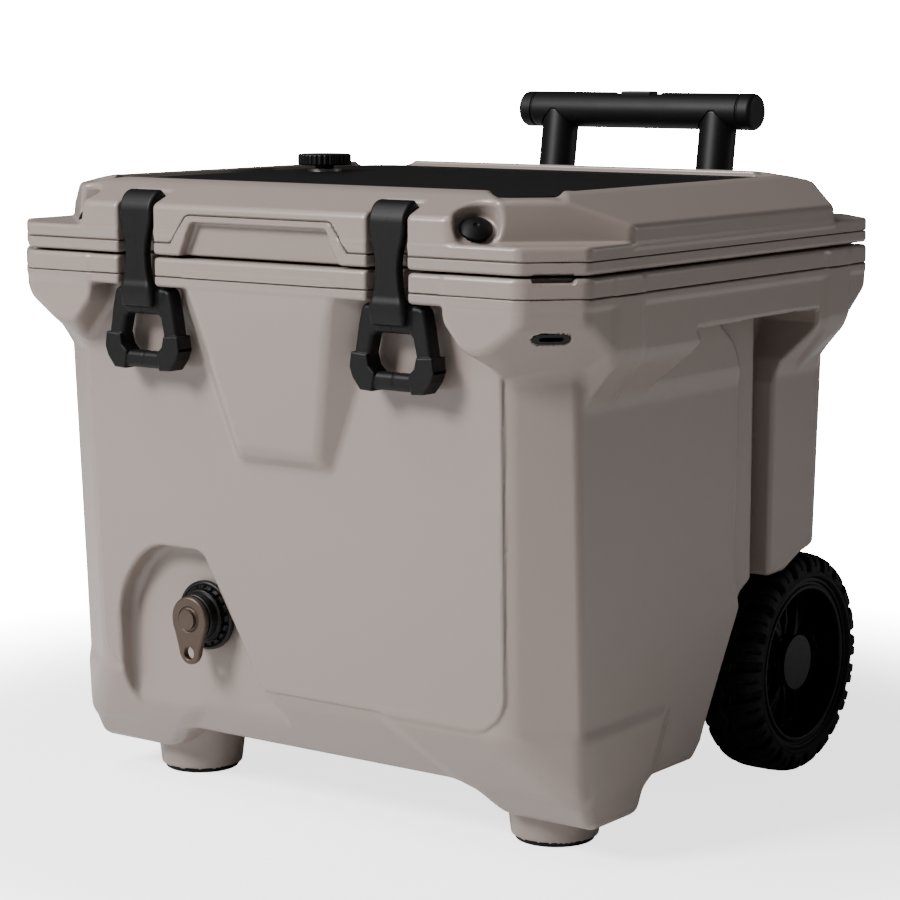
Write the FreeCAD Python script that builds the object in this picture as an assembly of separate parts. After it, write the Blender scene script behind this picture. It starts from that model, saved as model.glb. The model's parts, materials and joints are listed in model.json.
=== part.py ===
import FreeCAD, Part
import math
import os

# ---------------------------------------------------------------- dimensions (mm)
# Working frame: X to the right along the front, Y to the back, Z up, floor at z = 0.
# Y = 0 is the middle of the rim; every piece is moved by Y_SHIFT when it is written,
# so that the origin lies under the centre of the whole object.
Y_SHIFT = -35.296

RIM_X, RIM_Y = 300.0, 264.0          # half length and half depth of the rim
CH_X, CH_Y = 259.0, 225.0            # where the rim's corner chamfers start
SEAM_Z = 483.0                       # top of the body
LID_Z0 = 485.0                       # underside of the lid
LID_Z1 = 546.0                       # top of the lid's lip
MAT_Z = 541.0                        # top of the lid mat
BODY_Z0 = 56.0                       # underside of the body
WALL = 4.5                           # wall of the moulded double skin
CAV_Z0 = 118.0                       # floor of the cold compartment
CAV_X, CAV_YF, CAV_YR = 228.0, 192.0, 186.0   # compartment at the rim
CAV_STEP_Z, CAV_STEP_X = 236.0, 178.0         # ledges over the wheel wells
WELL_X = 199.0                       # inner wall of the wheel wells
WHEEL_Y, WHEEL_R = 191.0, 101.0
TYRE_X0, TYRE_X1 = 207.0, 267.0
RIM_R = 80.0
AXLE_R = 6.0
LATCH_X = 133.5
LATCH_PIN_Y, LATCH_PIN_Z = -249.0, 528.5
HINGE_Y, HINGE_Z = 246.0, 518.0
HINGE_PIN_R = 4.0
POST_X = 91.0                        # handle tubes
TILT = math.radians(8.6)             # backward lean of the handle
SL = (0.0, math.sin(TILT), math.cos(TILT))
SLIDE0 = (0.0, 300.0, 483.0)         # a point on the slide axis, x = +-POST_X
GRIP_S = 114.3                       # grip axis along the slide axis from SLIDE0
GRIP_R, GRIP_HALF = 18.0, 133.5
TAP_X, TAP_Z, TAP_WALL_Y = -107.0, 168.0, -203.0
KNOB_X, KNOB_Y = -189.0, 60.0
FOOT_X, FOOT_Y, FOOT_R = 197.0, -116.0, 34.0
FIT = 0.05                           # radial running clearance

os.makedirs("parts", exist_ok=True)
V = FreeCAD.Vector


# ---------------------------------------------------------------- helpers
def plane(n, p):
    """Half space n.x <= n.p as (n, d) with n a unit vector."""
    L = math.sqrt(sum(c * c for c in n))
    n = tuple(c / L for c in n)
    return n, sum(a * b for a, b in zip(n, p))


def plane3(a, b, c, inside):
    """Half space through three points that keeps the point `inside`."""
    u = [b[i] - a[i] for i in range(3)]
    w = [c[i] - a[i] for i in range(3)]
    n = (u[1] * w[2] - u[2] * w[1], u[2] * w[0] - u[0] * w[2], u[0] * w[1] - u[1] * w[0])
    if sum(n[i] * (inside[i] - a[i]) for i in range(3)) > 0:
        n = tuple(-c for c in n)
    return plane(n, a)


def poly(planes, grow=0.0):
    """Convex solid: the intersection of half spaces, each moved out by `grow`."""
    ps = [(n, d + grow) for n, d in planes]
    pts = []
    m = len(ps)
    for i in range(m):
        for j in range(i + 1, m):
            for k in range(j + 1, m):
                (a, da), (b, db), (c, dc) = ps[i], ps[j], ps[k]
                bc = (b[1] * c[2] - b[2] * c[1], b[2] * c[0] - b[0] * c[2], b[0] * c[1] - b[1] * c[0])
                det = a[0] * bc[0] + a[1] * bc[1] + a[2] * bc[2]
                if abs(det) < 1e-7:
                    continue
                ca = (c[1] * a[2] - c[2] * a[1], c[2] * a[0] - c[0] * a[2], c[0] * a[1] - c[1] * a[0])
                ab = (a[1] * b[2] - a[2] * b[1], a[2] * b[0] - a[0] * b[2], a[0] * b[1] - a[1] * b[0])
                p = tuple((da * bc[t] + db * ca[t] + dc * ab[t]) / det for t in range(3))
                if all(sum(n[t] * p[t] for t in range(3)) <= d + 1e-5 for n, d in ps):
                    if not any(max(abs(p[t] - q[t]) for t in range(3)) < 1e-4 for q in pts):
                        pts.append(p)
    faces = []
    for n, d in ps:
        on = [p for p in pts if abs(sum(n[t] * p[t] for t in range(3)) - d) < 2e-4]
        if len(on) < 3:
            continue
        c = [sum(p[t] for p in on) / len(on) for t in range(3)]
        nv = V(*n)
        u = nv.cross(V(0, 0, 1)) if abs(n[2]) < 0.9 else nv.cross(V(1, 0, 0))
        u.normalize()
        w = nv.cross(u)
        on.sort(key=lambda p: math.atan2((V(*p) - V(*c)).dot(w), (V(*p) - V(*c)).dot(u)))
        vs = [V(*p) for p in on]
        faces.append(Part.Face(Part.makePolygon(vs + [vs[0]])))
    shell = Part.makeShell(faces)
    shell.sewShape()
    s = Part.Solid(Part.Shell(shell.Faces))
    if s.Volume < 0:
        s = s.reversed()
    return s


def mx(shape):
    return shape.mirror(V(0, 0, 0), V(1, 0, 0))


def my(shape):
    return shape.mirror(V(0, 0, 0), V(0, 1, 0))


def box(x0, x1, y0, y1, z0, z1):
    return Part.makeBox(x1 - x0, y1 - y0, z1 - z0, V(x0, y0, z0))


def cyl(r, p, q):
    d = V(*q) - V(*p)
    return Part.makeCylinder(r, d.Length, V(*p), d)


def tube(ro, ri, p, q):
    return cyl(ro, p, q).cut(cyl(ri, p, q))


def prism(pts, axis, a, b):
    """Polygon pts extruded along axis from a to b. Points are (y, z), (x, z) or (x, y)."""
    if axis == "X":
        vs = [V(a, y, z) for y, z in pts]
        d = V(b - a, 0, 0)
    elif axis == "Y":
        vs = [V(x, a, z) for x, z in pts]
        d = V(0, b - a, 0)
    else:
        vs = [V(x, y, a) for x, y in pts]
        d = V(0, 0, b - a)
    return Part.Face(Part.makePolygon(vs + [vs[0]])).extrude(d)


def fuse(*shapes):
    s = shapes[0]
    if len(shapes) > 1:
        s = s.multiFuse(list(shapes[1:]))
    return s.removeSplitter()


def group(*shapes):
    return Part.makeCompound(list(shapes))


def fillet(s, r, test):
    """Round the edges that pass `test`; keep the sharp solid if that fails."""
    es = [e for e in s.Edges if test(e)]
    if not es:
        return s
    try:
        t = s.makeFillet(r, es)
        if t.isValid() and t.Volume > 0 and len(t.Solids) == len(s.Solids):
            return t
    except Exception:
        pass
    print("  fillet kept sharp", r)
    return s


ALL = []


def out(name, shape):
    s = shape.copy()
    s.translate(V(0, Y_SHIFT, 0))
    if not s.isValid():
        print("  INVALID", name)
    sols = s.Solids
    s = sols[0] if len(sols) == 1 else Part.makeCompound(sols)
    b = s.BoundBox
    ALL.append((name, b))
    print("%-18s solids %2d  faces %4d  vol %9.1f cm3  x %7.1f %7.1f  y %7.1f %7.1f  z %6.1f %6.1f" % (
        name, len(sols), len(s.Faces), s.Volume / 1000.0, b.XMin, b.XMax, b.YMin, b.YMax, b.ZMin, b.ZMax))
    s.exportStep("parts/" + name + ".step")


def on_slide(x, s, off=0.0):
    """Point at height s along the handle's slide line, moved `off` to the rear of it."""
    return (x, SLIDE0[1] + s * SL[1] + off * SL[2], SLIDE0[2] + s * SL[2] - off * SL[1])


# ---------------------------------------------------------------- body envelope
MAIN = [
    plane((1, 0, -0.004), (271, 0, 100)), plane((-1, 0, -0.004), (-271, 0, 100)),
    plane((0, -1, -0.0407), (0, -232, 400)), plane((0, 1, -0.05), (0, 218, 380)),
    plane((0.545, -0.837, -0.043), (223, -230.2, 380)), plane((-0.545, -0.837, -0.043), (-223, -230.2, 380)),
    plane((0.707, 0.707, -0.035), (252, 218, 380)), plane((-0.707, 0.707, -0.035), (-252, 218, 380)),
    plane((0, -0.853, -0.521), (0, -220, 110)),
    plane((0, 0, -1), (0, 0, BODY_Z0)), plane((0, 0, 1), (0, 0, SEAM_Z)),
]
CHN = (0.689, -0.724, 0)
OUTLINE = [(CH_X, -RIM_Y), (RIM_X, -CH_Y), (RIM_X, CH_Y), (CH_X, RIM_Y),
           (-CH_X, RIM_Y), (-RIM_X, CH_Y), (-RIM_X, -CH_Y), (-CH_X, -RIM_Y)]
CORNER = [
    plane((-1, 0, 0), (186, 0, 0)), plane((-0.763, 0, -0.648), (188, 0, 444)),
    plane((0, 1, 0), (0, -150, 0)), plane((0, 0, 1), (0, 0, SEAM_Z)),
    plane((1, 0, 0), (RIM_X, 0, 0)), plane((0, -1, 0), (0, -RIM_Y, 0)),
    plane(CHN, (CH_X, -RIM_Y, 0)),
    plane((0.487, -0.512, -0.707), (279.5, -244.5, 445)),
    plane((0, -0.548, -0.836), (0, -264, 424)), plane((0.781, 0, -0.625), (300, 0, 415)),
]
SIDE = [
    plane((-1, 0, 0), (230, 0, 0)), plane((1, 0, 0), (RIM_X, 0, 0)),
    plane((0, -1, 0), (0, -190, 0)), plane((0, 1, 0), (0, 190, 0)),
    plane((0, 0, 1), (0, 0, SEAM_Z)), plane((0.781, 0, -0.625), (300, 0, 415)),
]
VPL_IN = (0, -200, 400)
VPLATE = [
    plane3((74, -264, 455), (42, -240, 322), (85, -232, 395), VPL_IN),
    plane3((-74, -264, 455), (-42, -240, 322), (-85, -232, 395), VPL_IN),
    plane3((74, -264, 455), (42, -240, 322), (-42, -240, 322), VPL_IN),
    plane((0, -0.747, -0.664), (0, -240, 322)),
    plane((0, 0, 1), (0, 0, 470)), plane((0, 1, 0), (0, -200, 0)), plane((0, -1, 0), (0, -RIM_Y, 0)),
]
FOOT = [plane((0, 0, -1), (0, 0, 9))]
for a in range(0, 360, 45):
    c, s = math.cos(math.radians(a + 22.5)), math.sin(math.radians(a + 22.5))
    FOOT.append(plane((c, s, -0.12), (FOOT_X + 37 * c, FOOT_Y + 37 * s, 9)))
FOOT.append(plane((0, 0, 1), (0, 0, 50)))

# the front bottom corners reach lower, down to the feet
FOOTBLK = [MAIN[0], MAIN[4], MAIN[8], plane((-0.676, 0, -0.737), (147, 0, 60)), plane((0, 0.895, -0.447), (0, -86, 56)),
           plane((0, 0, -1), (0, 0, 28)), plane((0, 0, 1), (0, 0, 110))]

# handle mounting pad on the rear wall
PAD = [plane((1, 0, 0), (128, 0, 0)), plane((-1, 0, 0), (-128, 0, 0)), plane((0, -1, 0), (0, 195, 0)),
       plane((0, 0, -1), (0, 0, 84)), plane((0, 0, 1), (0, 0, 472)),
       plane((0, SL[2], -SL[1]), on_slide(0, 0, -22.4))]

WELL = [(-18, 30), (-13, 57), (-1, 69), (5, 81), (32, 128), (60, 175), (70, 187), (84, 194), (138, 196), (165, 207),
        (198, 214), (215, 226), (300, 226), (300, 30)]
POCKET = [(-155, 227), (-99, 227), (-52, 142), (-12, 70), (-30, 40), (-185, 40), (-198, 92), (-198, 174), (-180, 208)]


def body_outer():
    corner = poly(CORNER)
    side = poly(SIDE)
    foot = poly(FOOT)
    parts = [poly(MAIN), prism(OUTLINE, "Z", 458, SEAM_Z), corner, mx(corner), my(corner), my(mx(corner)),
             side, mx(side), poly(VPLATE), foot, mx(foot), poly(FOOTBLK), mx(poly(FOOTBLK)), poly(PAD)]
    return fuse(*parts)


def side_cuts():
    """Hand hold, tie-down groove and wheel well on the right side."""
    grab = prism([(-98, 372), (-98, 382), (-83, 398), (-65, 413), (-58, 421), (-70, 431), (106, 431), (106, 372)],
                 "X", 262, 320)
    shelf = prism([(46, 205), (52, 356), (50, 382), (38, 403), (17, 422), (17, 431), (106, 431), (106, 205)],
                  "X", 262, 320)
    groove = prism([(85, 190), (85, 431), (137, 431), (137, 422), (109, 368), (109, 190)], "X", 241, 320)
    well = prism(WELL, "X", WELL_X, 320)
    return fuse(grab, shelf, groove, well)


# interior of the cold compartment
def cavity(grow=0.0, top=SEAM_Z + 5):
    g = grow
    full = poly([
        plane((1, 0, -0.025), (CAV_X, 0, SEAM_Z)), plane((-1, 0, -0.025), (-CAV_X, 0, SEAM_Z)),
        plane((0, -1, -0.025), (0, -CAV_YF, SEAM_Z)), plane((0, 1, -0.025), (0, CAV_YR, SEAM_Z)),
        plane((0.707, -0.707, -0.03), (CAV_X - 14, -CAV_YF, SEAM_Z)),
        plane((-0.707, -0.707, -0.03), (-CAV_X + 14, -CAV_YF, SEAM_Z)),
        plane((0.707, 0.707, -0.03), (CAV_X - 14, CAV_YR, SEAM_Z)),
        plane((-0.707, 0.707, -0.03), (-CAV_X + 14, CAV_YR, SEAM_Z)),
        plane((0, 0, -1), (0, 0, CAV_Z0)), plane((0, 0, 1), (0, 0, top - g))], g)
    ledge = box(CAV_STEP_X + g, 260, -40 + g, 260, 50, CAV_STEP_Z - g)
    return full.cut(ledge).cut(mx(ledge))


slots = [box(s * LATCH_X - 21, s * LATCH_X + 21, -270, -241, 455, SEAM_Z + 5) for s in (-1, 1)]
latch_bay = prism([(70, 440), (66, 452), (72, 458), (178, 458), (186, 452), (190, 440)], "Y", -275, -262)

sc = side_cuts()
outer = body_outer()
shell = outer.cut(sc).cut(mx(sc))
shell = shell.cut(prism(POCKET, "Y", -300, TAP_WALL_Y))
for s in slots:
    shell = shell.cut(s)
# bores: axle tunnel, tap, hinge bracket screws, handle cover screws
shell = shell.cut(cyl(9.0, (-260, WHEEL_Y, WHEEL_R), (260, WHEEL_Y, WHEEL_R)))
shell = shell.cut(cyl(13.2, (TAP_X, -260, TAP_Z), (TAP_X, -150, TAP_Z)))
BRK_X = 175.0
HOUS_SCR = [(x, z) for x in (-116, 116) for z in (120, 280, 430)]
for sx in (-1, 1):
    for dx in (-26, 26):
        shell = shell.cut(cyl(2.6, (sx * BRK_X + dx, 250, 467.4), (sx * BRK_X + dx, 250, 490)))
for x, z in HOUS_SCR:
    s0 = (z - SLIDE0[2]) / SL[2]
    shell = shell.cut(cyl(2.1, on_slide(x, s0, -36), on_slide(x, s0, -10)))
for sx in (-1, 1):
    shell = shell.cut(cyl(3.1, (sx * FOOT_X, FOOT_Y, -2), (sx * FOOT_X, FOOT_Y, 34)))
    # oblong holes for the tie-down inserts in the corner scoops
TIE_N = V(0.487, -0.512, -0.707)
TIE_N.normalize()
TIE_C = V(279.5, -244.5, 445) - V(0.512, -0.487, 0) * 0 + V(-0.487, 0.512, -0.707) * 14.0


def tie_insert(depth0, depth1, half, r):
    """Oblong plug along the scoop's normal, its round ends as short flats."""
    u = V(0.724, 0.689, 0)
    u = (u - TIE_N * u.dot(TIE_N)).normalize()
    w = TIE_N.cross(u)
    o = TIE_C - TIE_N * depth1
    q = []
    for i in range(7):
        t = math.radians(-90 + 30 * i)
        q.append(o + u * (half + r * math.cos(t)) + w * (r * math.sin(t)))
    for i in range(7):
        t = math.radians(90 + 30 * i)
        q.append(o + u * (-half + r * math.cos(t)) + w * (r * math.sin(t)))
    return Part.Face(Part.makePolygon(q + [q[0]])).extrude(TIE_N * (depth1 - depth0))


ties = []
for f in (lambda s: s, mx, my, lambda s: my(mx(s))):
    shell = shell.cut(f(tie_insert(-4, 9.0, 9.0, 6.2)))
    ties.append(f(tie_insert(0.6, 8.6, 9.0, 6.0).cut(tie_insert(-4, 4.0, 7.0, 2.6))))

# the foam between the skins
fside, fcorner, ffoot = poly(SIDE, -WALL), poly(CORNER, -WALL), poly(FOOTBLK, -WALL)
foam_out = poly(MAIN, -WALL).fuse([fside, mx(fside), fcorner, mx(fcorner), my(fcorner), my(mx(fcorner)),
                                   ffoot, mx(ffoot), poly(PAD, -WALL)])
core = foam_out.cut(cavity(WALL, SEAM_Z + WALL))
core = core.cut(box(172, 330, -50, 330, 30, 243)).cut(box(-330, -172, -50, 330, 30, 243)) \
    .cut(box(235, 330, 40, 142, 180, 440)).cut(box(-330, -235, 40, 142, 180, 440)) \
    .cut(box(257, 330, -104, 142, 180, 440)).cut(box(-330, -257, -104, 142, 180, 440))
core = core.cut(box(-206, 0, -260, TAP_WALL_Y + 9, 30, 236))
core = core.cut(box(-330, 330, WHEEL_Y - 15, 260, WHEEL_R - 15, WHEEL_R + 15))
core = core.cut(cyl(17.5, (TAP_X, -260, TAP_Z), (TAP_X, -150, TAP_Z)))
for sx in (-1, 1):
    core = core.cut(cyl(8, (sx * FOOT_X, FOOT_Y, 20), (sx * FOOT_X, FOOT_Y, 42)))
    for dx in (-26, 26):
        core = core.cut(cyl(7, (sx * BRK_X + dx, 250, 466.8), (sx * BRK_X + dx, 250, 490)))
for x, z in HOUS_SCR:
    s0 = (z - SLIDE0[2]) / SL[2]
    core = core.cut(cyl(6, on_slide(x, s0, -44), on_slide(x, s0, -10)))
for f in (lambda s: s, mx, my, lambda s: my(mx(s))):
    core = core.cut(f(tie_insert(-8, 14, 9.0, 10.5)))
COLLAR_Z = 467.0                     # joint between the outer shell and the liner's rim
tub = cavity(WALL, SEAM_Z + WALL)
skin = shell.common(box(-310, 310, -300, 300, 0, COLLAR_Z - 0.4)).cut(tub).cut(core).removeSplitter()
liner = shell.common(box(-310, 310, -300, 300, COLLAR_Z, SEAM_Z)).fuse(tub.common(box(-310, 310, -300, 300, 50, SEAM_Z)))
liner = liner.cut(cyl(13.2, (TAP_X, -260, TAP_Z), (TAP_X, -150, TAP_Z)))
liner = liner.cut(cavity()).cut(core).removeSplitter()
out("body_shell", skin)
out("inner_liner", liner)
out("body_foam", core)
out("tie_down_inserts", group(*ties))

# ---------------------------------------------------------------- lid
DIAG = plane((0.686, -0.727, 0), (195, -264, 0))
LIDTOP = [
    plane((0, 0, 1), (0, 0, LID_Z1)), plane((0, 0, -1), (0, 0, 500)),
    plane((1, 0, 0), (RIM_X, 0, 0)), plane((-1, 0, 0), (-RIM_X, 0, 0)),
    plane((0, -1, 0), (0, -RIM_Y, 0)), plane((0, 1, 0), (0, RIM_Y, 0)),
    plane3((0, -264, 527), (0, -221, 545), (100, -264, 527), (0, 0, 500)),
    plane3((0, 264, 527), (0, 221, 545), (100, 264, 527), (0, 0, 500)),
    plane3((300, 0, 520), (247, 0, 545), (300, 50, 520), (0, 0, 500)),
    plane3((-300, 0, 520), (-247, 0, 545), (-300, 50, 520), (0, 0, 500)),
]
for sx in (-1, 1):
    for sy in (-1, 1):
        LIDTOP.append(plane((sx * 0.686, sy * 0.727, 0.10), (sx * 195, sy * 264, 508)))
MATP = [(205, -205), (240, -168), (240, 168), (205, 205), (-205, 205), (-240, 168), (-240, -168), (-205, -205)]

lid = fuse(prism(OUTLINE, "Z", LID_Z0, 507), poly(LIDTOP))
# sealing plug that drops into the compartment
PLUG = [(CAV_X - 7, -CAV_YF + 24), (CAV_X - 7, CAV_YR - 22), (CAV_X - 22, CAV_YR - 7), (-CAV_X + 22, CAV_YR - 7),
        (-CAV_X + 7, CAV_YR - 22), (-CAV_X + 7, -CAV_YF + 24), (-CAV_X + 22, -CAV_YF + 9), (CAV_X - 22, -CAV_YF + 9)]
lid = lid.fuse(prism(PLUG, "Z", 466, LID_Z0 + 1)).removeSplitter()
mat_cut = prism(MATP, "Z", MAT_Z - 4, 560)
lid = lid.cut(mat_cut)
# strap slots for the latches, front hand recess, hinge notches
for sx in (-1, 1):
    lid = lid.cut(box(sx * LATCH_X - 20, sx * LATCH_X + 20, -270, -238, 480, 560))
    lid = lid.cut(cyl(3.05, (sx * LATCH_X - 29, LATCH_PIN_Y, LATCH_PIN_Z), (sx * LATCH_X + 29, LATCH_PIN_Y, LATCH_PIN_Z)))
    lid = lid.cut(box(sx * BRK_X - 19, sx * BRK_X + 19, 228, 270, 480, 560))
    lid = lid.cut(box(sx * BRK_X - 33, sx * BRK_X + 33, 230, 270, 480, 506))
    lid = lid.cut(cyl(HINGE_PIN_R + FIT, (sx * BRK_X - 32, HINGE_Y, HINGE_Z), (sx * BRK_X + 32, HINGE_Y, HINGE_Z)))
lid = lid.cut(prism([(-87, 480), (-72, 513), (72, 513), (87, 480)], "Y", -270, -255))
# relief along the rear lower edge so that the lid can swing
lid = lid.cut(prism([(254, 480), (254, 485), (270, 501), (270, 480)], "X", -310, 310))
# groove for the gasket
GO = [(246, -198), (246, 198), (-246, 198), (-246, -205), (246, -205)]
g_out = box(-244, 244, -213, 206, 480, 489)
g_in = box(-234, 234, -203, 196, 470, 495)
lid = lid.cut(g_out.cut(g_in))
# corner bumpers sit in angled holes
BUMP = []
BN = V(0.44, -0.47, 0.766)
BN.normalize()
bc = V(205, -242, 518)
b1 = Part.makeCylinder(11.0, 16.0, bc - BN * 14, BN)
b1 = b1.fuse(Part.makeCylinder(13.8, 30.0, bc, BN))
lid = lid.cut(b1).cut(mx(b1))
IN = WALL / 300.0
core_l = fuse(prism([(x * (1 - IN), y * (1 - WALL / 264.0)) for x, y in OUTLINE], "Z", 494, 502.5),
              poly([LIDTOP[0], plane((0, 0, -1), (0, 0, 489.5))] + LIDTOP[2:], -WALL),
              prism([(x * 0.98, y * 0.975) for x, y in PLUG], "Z", 470.5, 495))
core_l = core_l.cut(box(-260, 260, -225, 225, MAT_Z - 8.5, 560))
core_l = core_l.cut(g_out.cut(g_in)).cut(box(-248.5, 248.5, -217.5, 210.5, 470, 493.5).cut(box(-216, 216, -178, 174, 460, 494)))
core_l = core_l.cut(prism([(-92, 480), (-77, 518), (77, 518), (92, 480)], "Y", -270, -250.5))
core_l = core_l.cut(prism([(249.5, 480), (249.5, 487), (270, 507), (270, 480)], "X", -310, 310))
for sx in (-1, 1):
    core_l = core_l.cut(box(sx * LATCH_X - 25, sx * LATCH_X + 25, -270, -233.5, 480, 560))
    core_l = core_l.cut(box(sx * LATCH_X - 33, sx * LATCH_X + 33, -260, -238, 515, 545))
    core_l = core_l.cut(box(sx * BRK_X - 38, sx * BRK_X + 38, 223, 270, 480, 560))
b2 = Part.makeCylinder(16.0, 60.0, bc - BN * 19, BN)
core_l = core_l.cut(b2).cut(mx(b2))
vent_hole = cyl(6.2, (KNOB_X, KNOB_Y, 455), (KNOB_X, KNOB_Y, 560))
core_l = core_l.cut(cyl(21, (KNOB_X, KNOB_Y, 455), (KNOB_X, KNOB_Y, 560)))
lid = lid.cut(core_l).cut(vent_hole)
PAN_Z = 495.0                        # joint between the lid's top and its inner pan
pan_zone = box(-310, 310, -300, 300, 440, PAN_Z).fuse(
    prism([(-95, PAN_Z - 1), (-77, 519), (77, 519), (95, PAN_Z - 1)], "Y", -270, -247))
top_cut = box(-310, 310, -300, 300, 440, PAN_Z + 0.4).fuse(
    prism([(-95.4, PAN_Z - 1), (-77.3, 519.4), (77.3, 519.4), (95.4, PAN_Z - 1)], "Y", -271, -246.6))
out("lid_shell", lid.cut(top_cut).removeSplitter())
out("lid_pan", lid.common(pan_zone).removeSplitter())
out("lid_foam", core_l)
mat = prism(MATP, "Z", MAT_Z - 4, MAT_Z).makeOffsetShape(0, 0.01) if False else prism(
    [(x * 0.9985, y * 0.9985) for x, y in MATP], "Z", MAT_Z - 4, MAT_Z)
mat = mat.cut(cyl(16.2, (KNOB_X, KNOB_Y, 530), (KNOB_X, KNOB_Y, 560)))
out("lid_mat", mat)
gasket = box(-243.5, 243.5, -212.5, 205.5, 483.4, 489).cut(box(-234.5, 234.5, -203.5, 196.5, 470, 495))
out("lid_gasket", gasket)
bump = Part.makeCylinder(10.8, 14.0, bc - BN * 13.8, BN).fuse(
    Part.makeSphere(30, bc - BN * 24.5).common(Part.makeCylinder(13.4, 14, bc - BN * 1.2 + BN * 1.0, BN)))
bump = Part.makeCylinder(10.8, 13.6, bc - BN * 13.6, BN)
dome = Part.makeCone(13.4, 9.5, 4.5, bc, BN)
bump = bump.fuse(dome).removeSplitter()
out("lid_bumpers", group(bump, mx(bump)))

# hinge
br, pins, scr = [], [], []
for sx in (-1, 1):
    x = sx * BRK_X
    ear = fuse(cyl(12, (x - 18, HINGE_Y, HINGE_Z), (x + 18, HINGE_Y, HINGE_Z)),
               box(x - 18, x + 18, 234, 258, SEAM_Z, HINGE_Z), box(x - 32, x + 32, 236, 262, SEAM_Z, SEAM_Z + 5))
    ear = ear.cut(cyl(HINGE_PIN_R + 0.01, (x - 40, HINGE_Y, HINGE_Z), (x + 40, HINGE_Y, HINGE_Z)))
    for dx in (-26, 26):
        ear = ear.cut(cyl(2.7, (x + dx, 250, 470), (x + dx, 250, 495)))
        scr.append(fuse(cyl(2.5, (x + dx, 250, 468), (x + dx, 250, SEAM_Z + 5)),
                        cyl(4.8, (x + dx, 250, SEAM_Z + 5), (x + dx, 250, SEAM_Z + 8)))
                   .cut(box(x + dx - 3.2, x + dx + 3.2, 249.4, 250.6, SEAM_Z + 6.6, SEAM_Z + 9)))
    br.append(ear)
    pins.append(cyl(HINGE_PIN_R, (x - 31, HINGE_Y, HINGE_Z), (x + 31, HINGE_Y, HINGE_Z)))
out("hinge_brackets", group(*br))
out("hinge_pins", group(*pins))
out("hinge_screws", group(*scr))

# ---------------------------------------------------------------- rubber latches
def latch(x):
    y0, z0 = LATCH_PIN_Y, LATCH_PIN_Z
    roll = cyl(8.5, (x - 17.5, y0, z0), (x + 17.5, y0, z0))
    strap_pts = [(-17.5, 528), (-17.5, 516), (-11.5, 496), (-11.5, 478), (-15, 458), (-15, 449), (15, 449), (15, 458),
                 (11.5, 478), (11.5, 496), (17.5, 516), (17.5, 528)]
    strap = prism([(x + a, z) for a, z in strap_pts], "Y", -264.5, -255.5)
    top = prism([(y0, 520), (y0, z0 + 8.5), (-258, 535), (-264.5, 528), (-264.5, 512), (-255.5, 512)],
                "X", x - 17.5, x + 17.5)
    ring = [(-28, 455), (-32, 449), (-38.5, 408), (-37, 398), (-30, 391), (-28.5, 387), (28.5, 387), (30, 391),
            (37, 398), (38.5, 408), (32, 449), (28, 455)]
    hole = [(-17, 432), (-20.5, 412), (-16.5, 403), (16.5, 403), (20.5, 412), (17, 432)]
    grip = prism([(x + a, z) for a, z in ring], "Y", -257, -241).cut(prism([(x + a, z) for a, z in hole], "Y", -290, -230))
    neck = prism([(-264.5, 462), (-264.5, 449), (-257, 441), (-241, 441), (-241, 455.5), (-255.5, 455.5), (-255.5, 462)], "X", x - 15, x + 15)
    s = fuse(roll, strap, top, grip, neck)
    return s.cut(cyl(3.0 + FIT, (x - 30, y0, z0), (x + 30, y0, z0)))


out("latch_left", latch(-LATCH_X))
out("latch_right", latch(LATCH_X))
out("latch_pins", group(*[cyl(3.0, (s * LATCH_X - 28, LATCH_PIN_Y, LATCH_PIN_Z), (s * LATCH_X + 28, LATCH_PIN_Y, LATCH_PIN_Z))
                          for s in (-1, 1)]))

# ---------------------------------------------------------------- vent on the lid
out("vent_base", fuse(cyl(16, (KNOB_X, KNOB_Y, MAT_Z - 4), (KNOB_X, KNOB_Y, MAT_Z + 2.6)),
                      cyl(6.0, (KNOB_X, KNOB_Y, 462), (KNOB_X, KNOB_Y, MAT_Z))).cut(
    cyl(3.0 + FIT, (KNOB_X, KNOB_Y, 450), (KNOB_X, KNOB_Y, 560))))
out("vent_seal", tube(11.5, 6.1, (KNOB_X, KNOB_Y, 462.6), (KNOB_X, KNOB_Y, 466)))
out("vent_nut", tube(9.5, 6.0, (KNOB_X, KNOB_Y, 458.0), (KNOB_X, KNOB_Y, 462.5)))
kn = cyl(25.5, (KNOB_X, KNOB_Y, 547.0), (KNOB_X, KNOB_Y, 557.5))
for i in range(24):
    a = 2 * math.pi * i / 24
    kn = kn.cut(cyl(1.6, (KNOB_X + 26.0 * math.cos(a), KNOB_Y + 26.0 * math.sin(a), 545),
                    (KNOB_X + 26.0 * math.cos(a), KNOB_Y + 26.0 * math.sin(a), 560)))
kn = fuse(kn, cyl(9.0, (KNOB_X, KNOB_Y, 544.0), (KNOB_X, KNOB_Y, 547.0)))
kn = kn.cut(cyl(3.0, (KNOB_X, KNOB_Y, 530), (KNOB_X, KNOB_Y, 552)))
out("vent_knob", kn.cut(cyl(3.02, (KNOB_X, KNOB_Y, 530), (KNOB_X, KNOB_Y, 552.02))))
out("vent_stem", cyl(3.0, (KNOB_X, KNOB_Y, 455), (KNOB_X, KNOB_Y, 552)))

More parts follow.
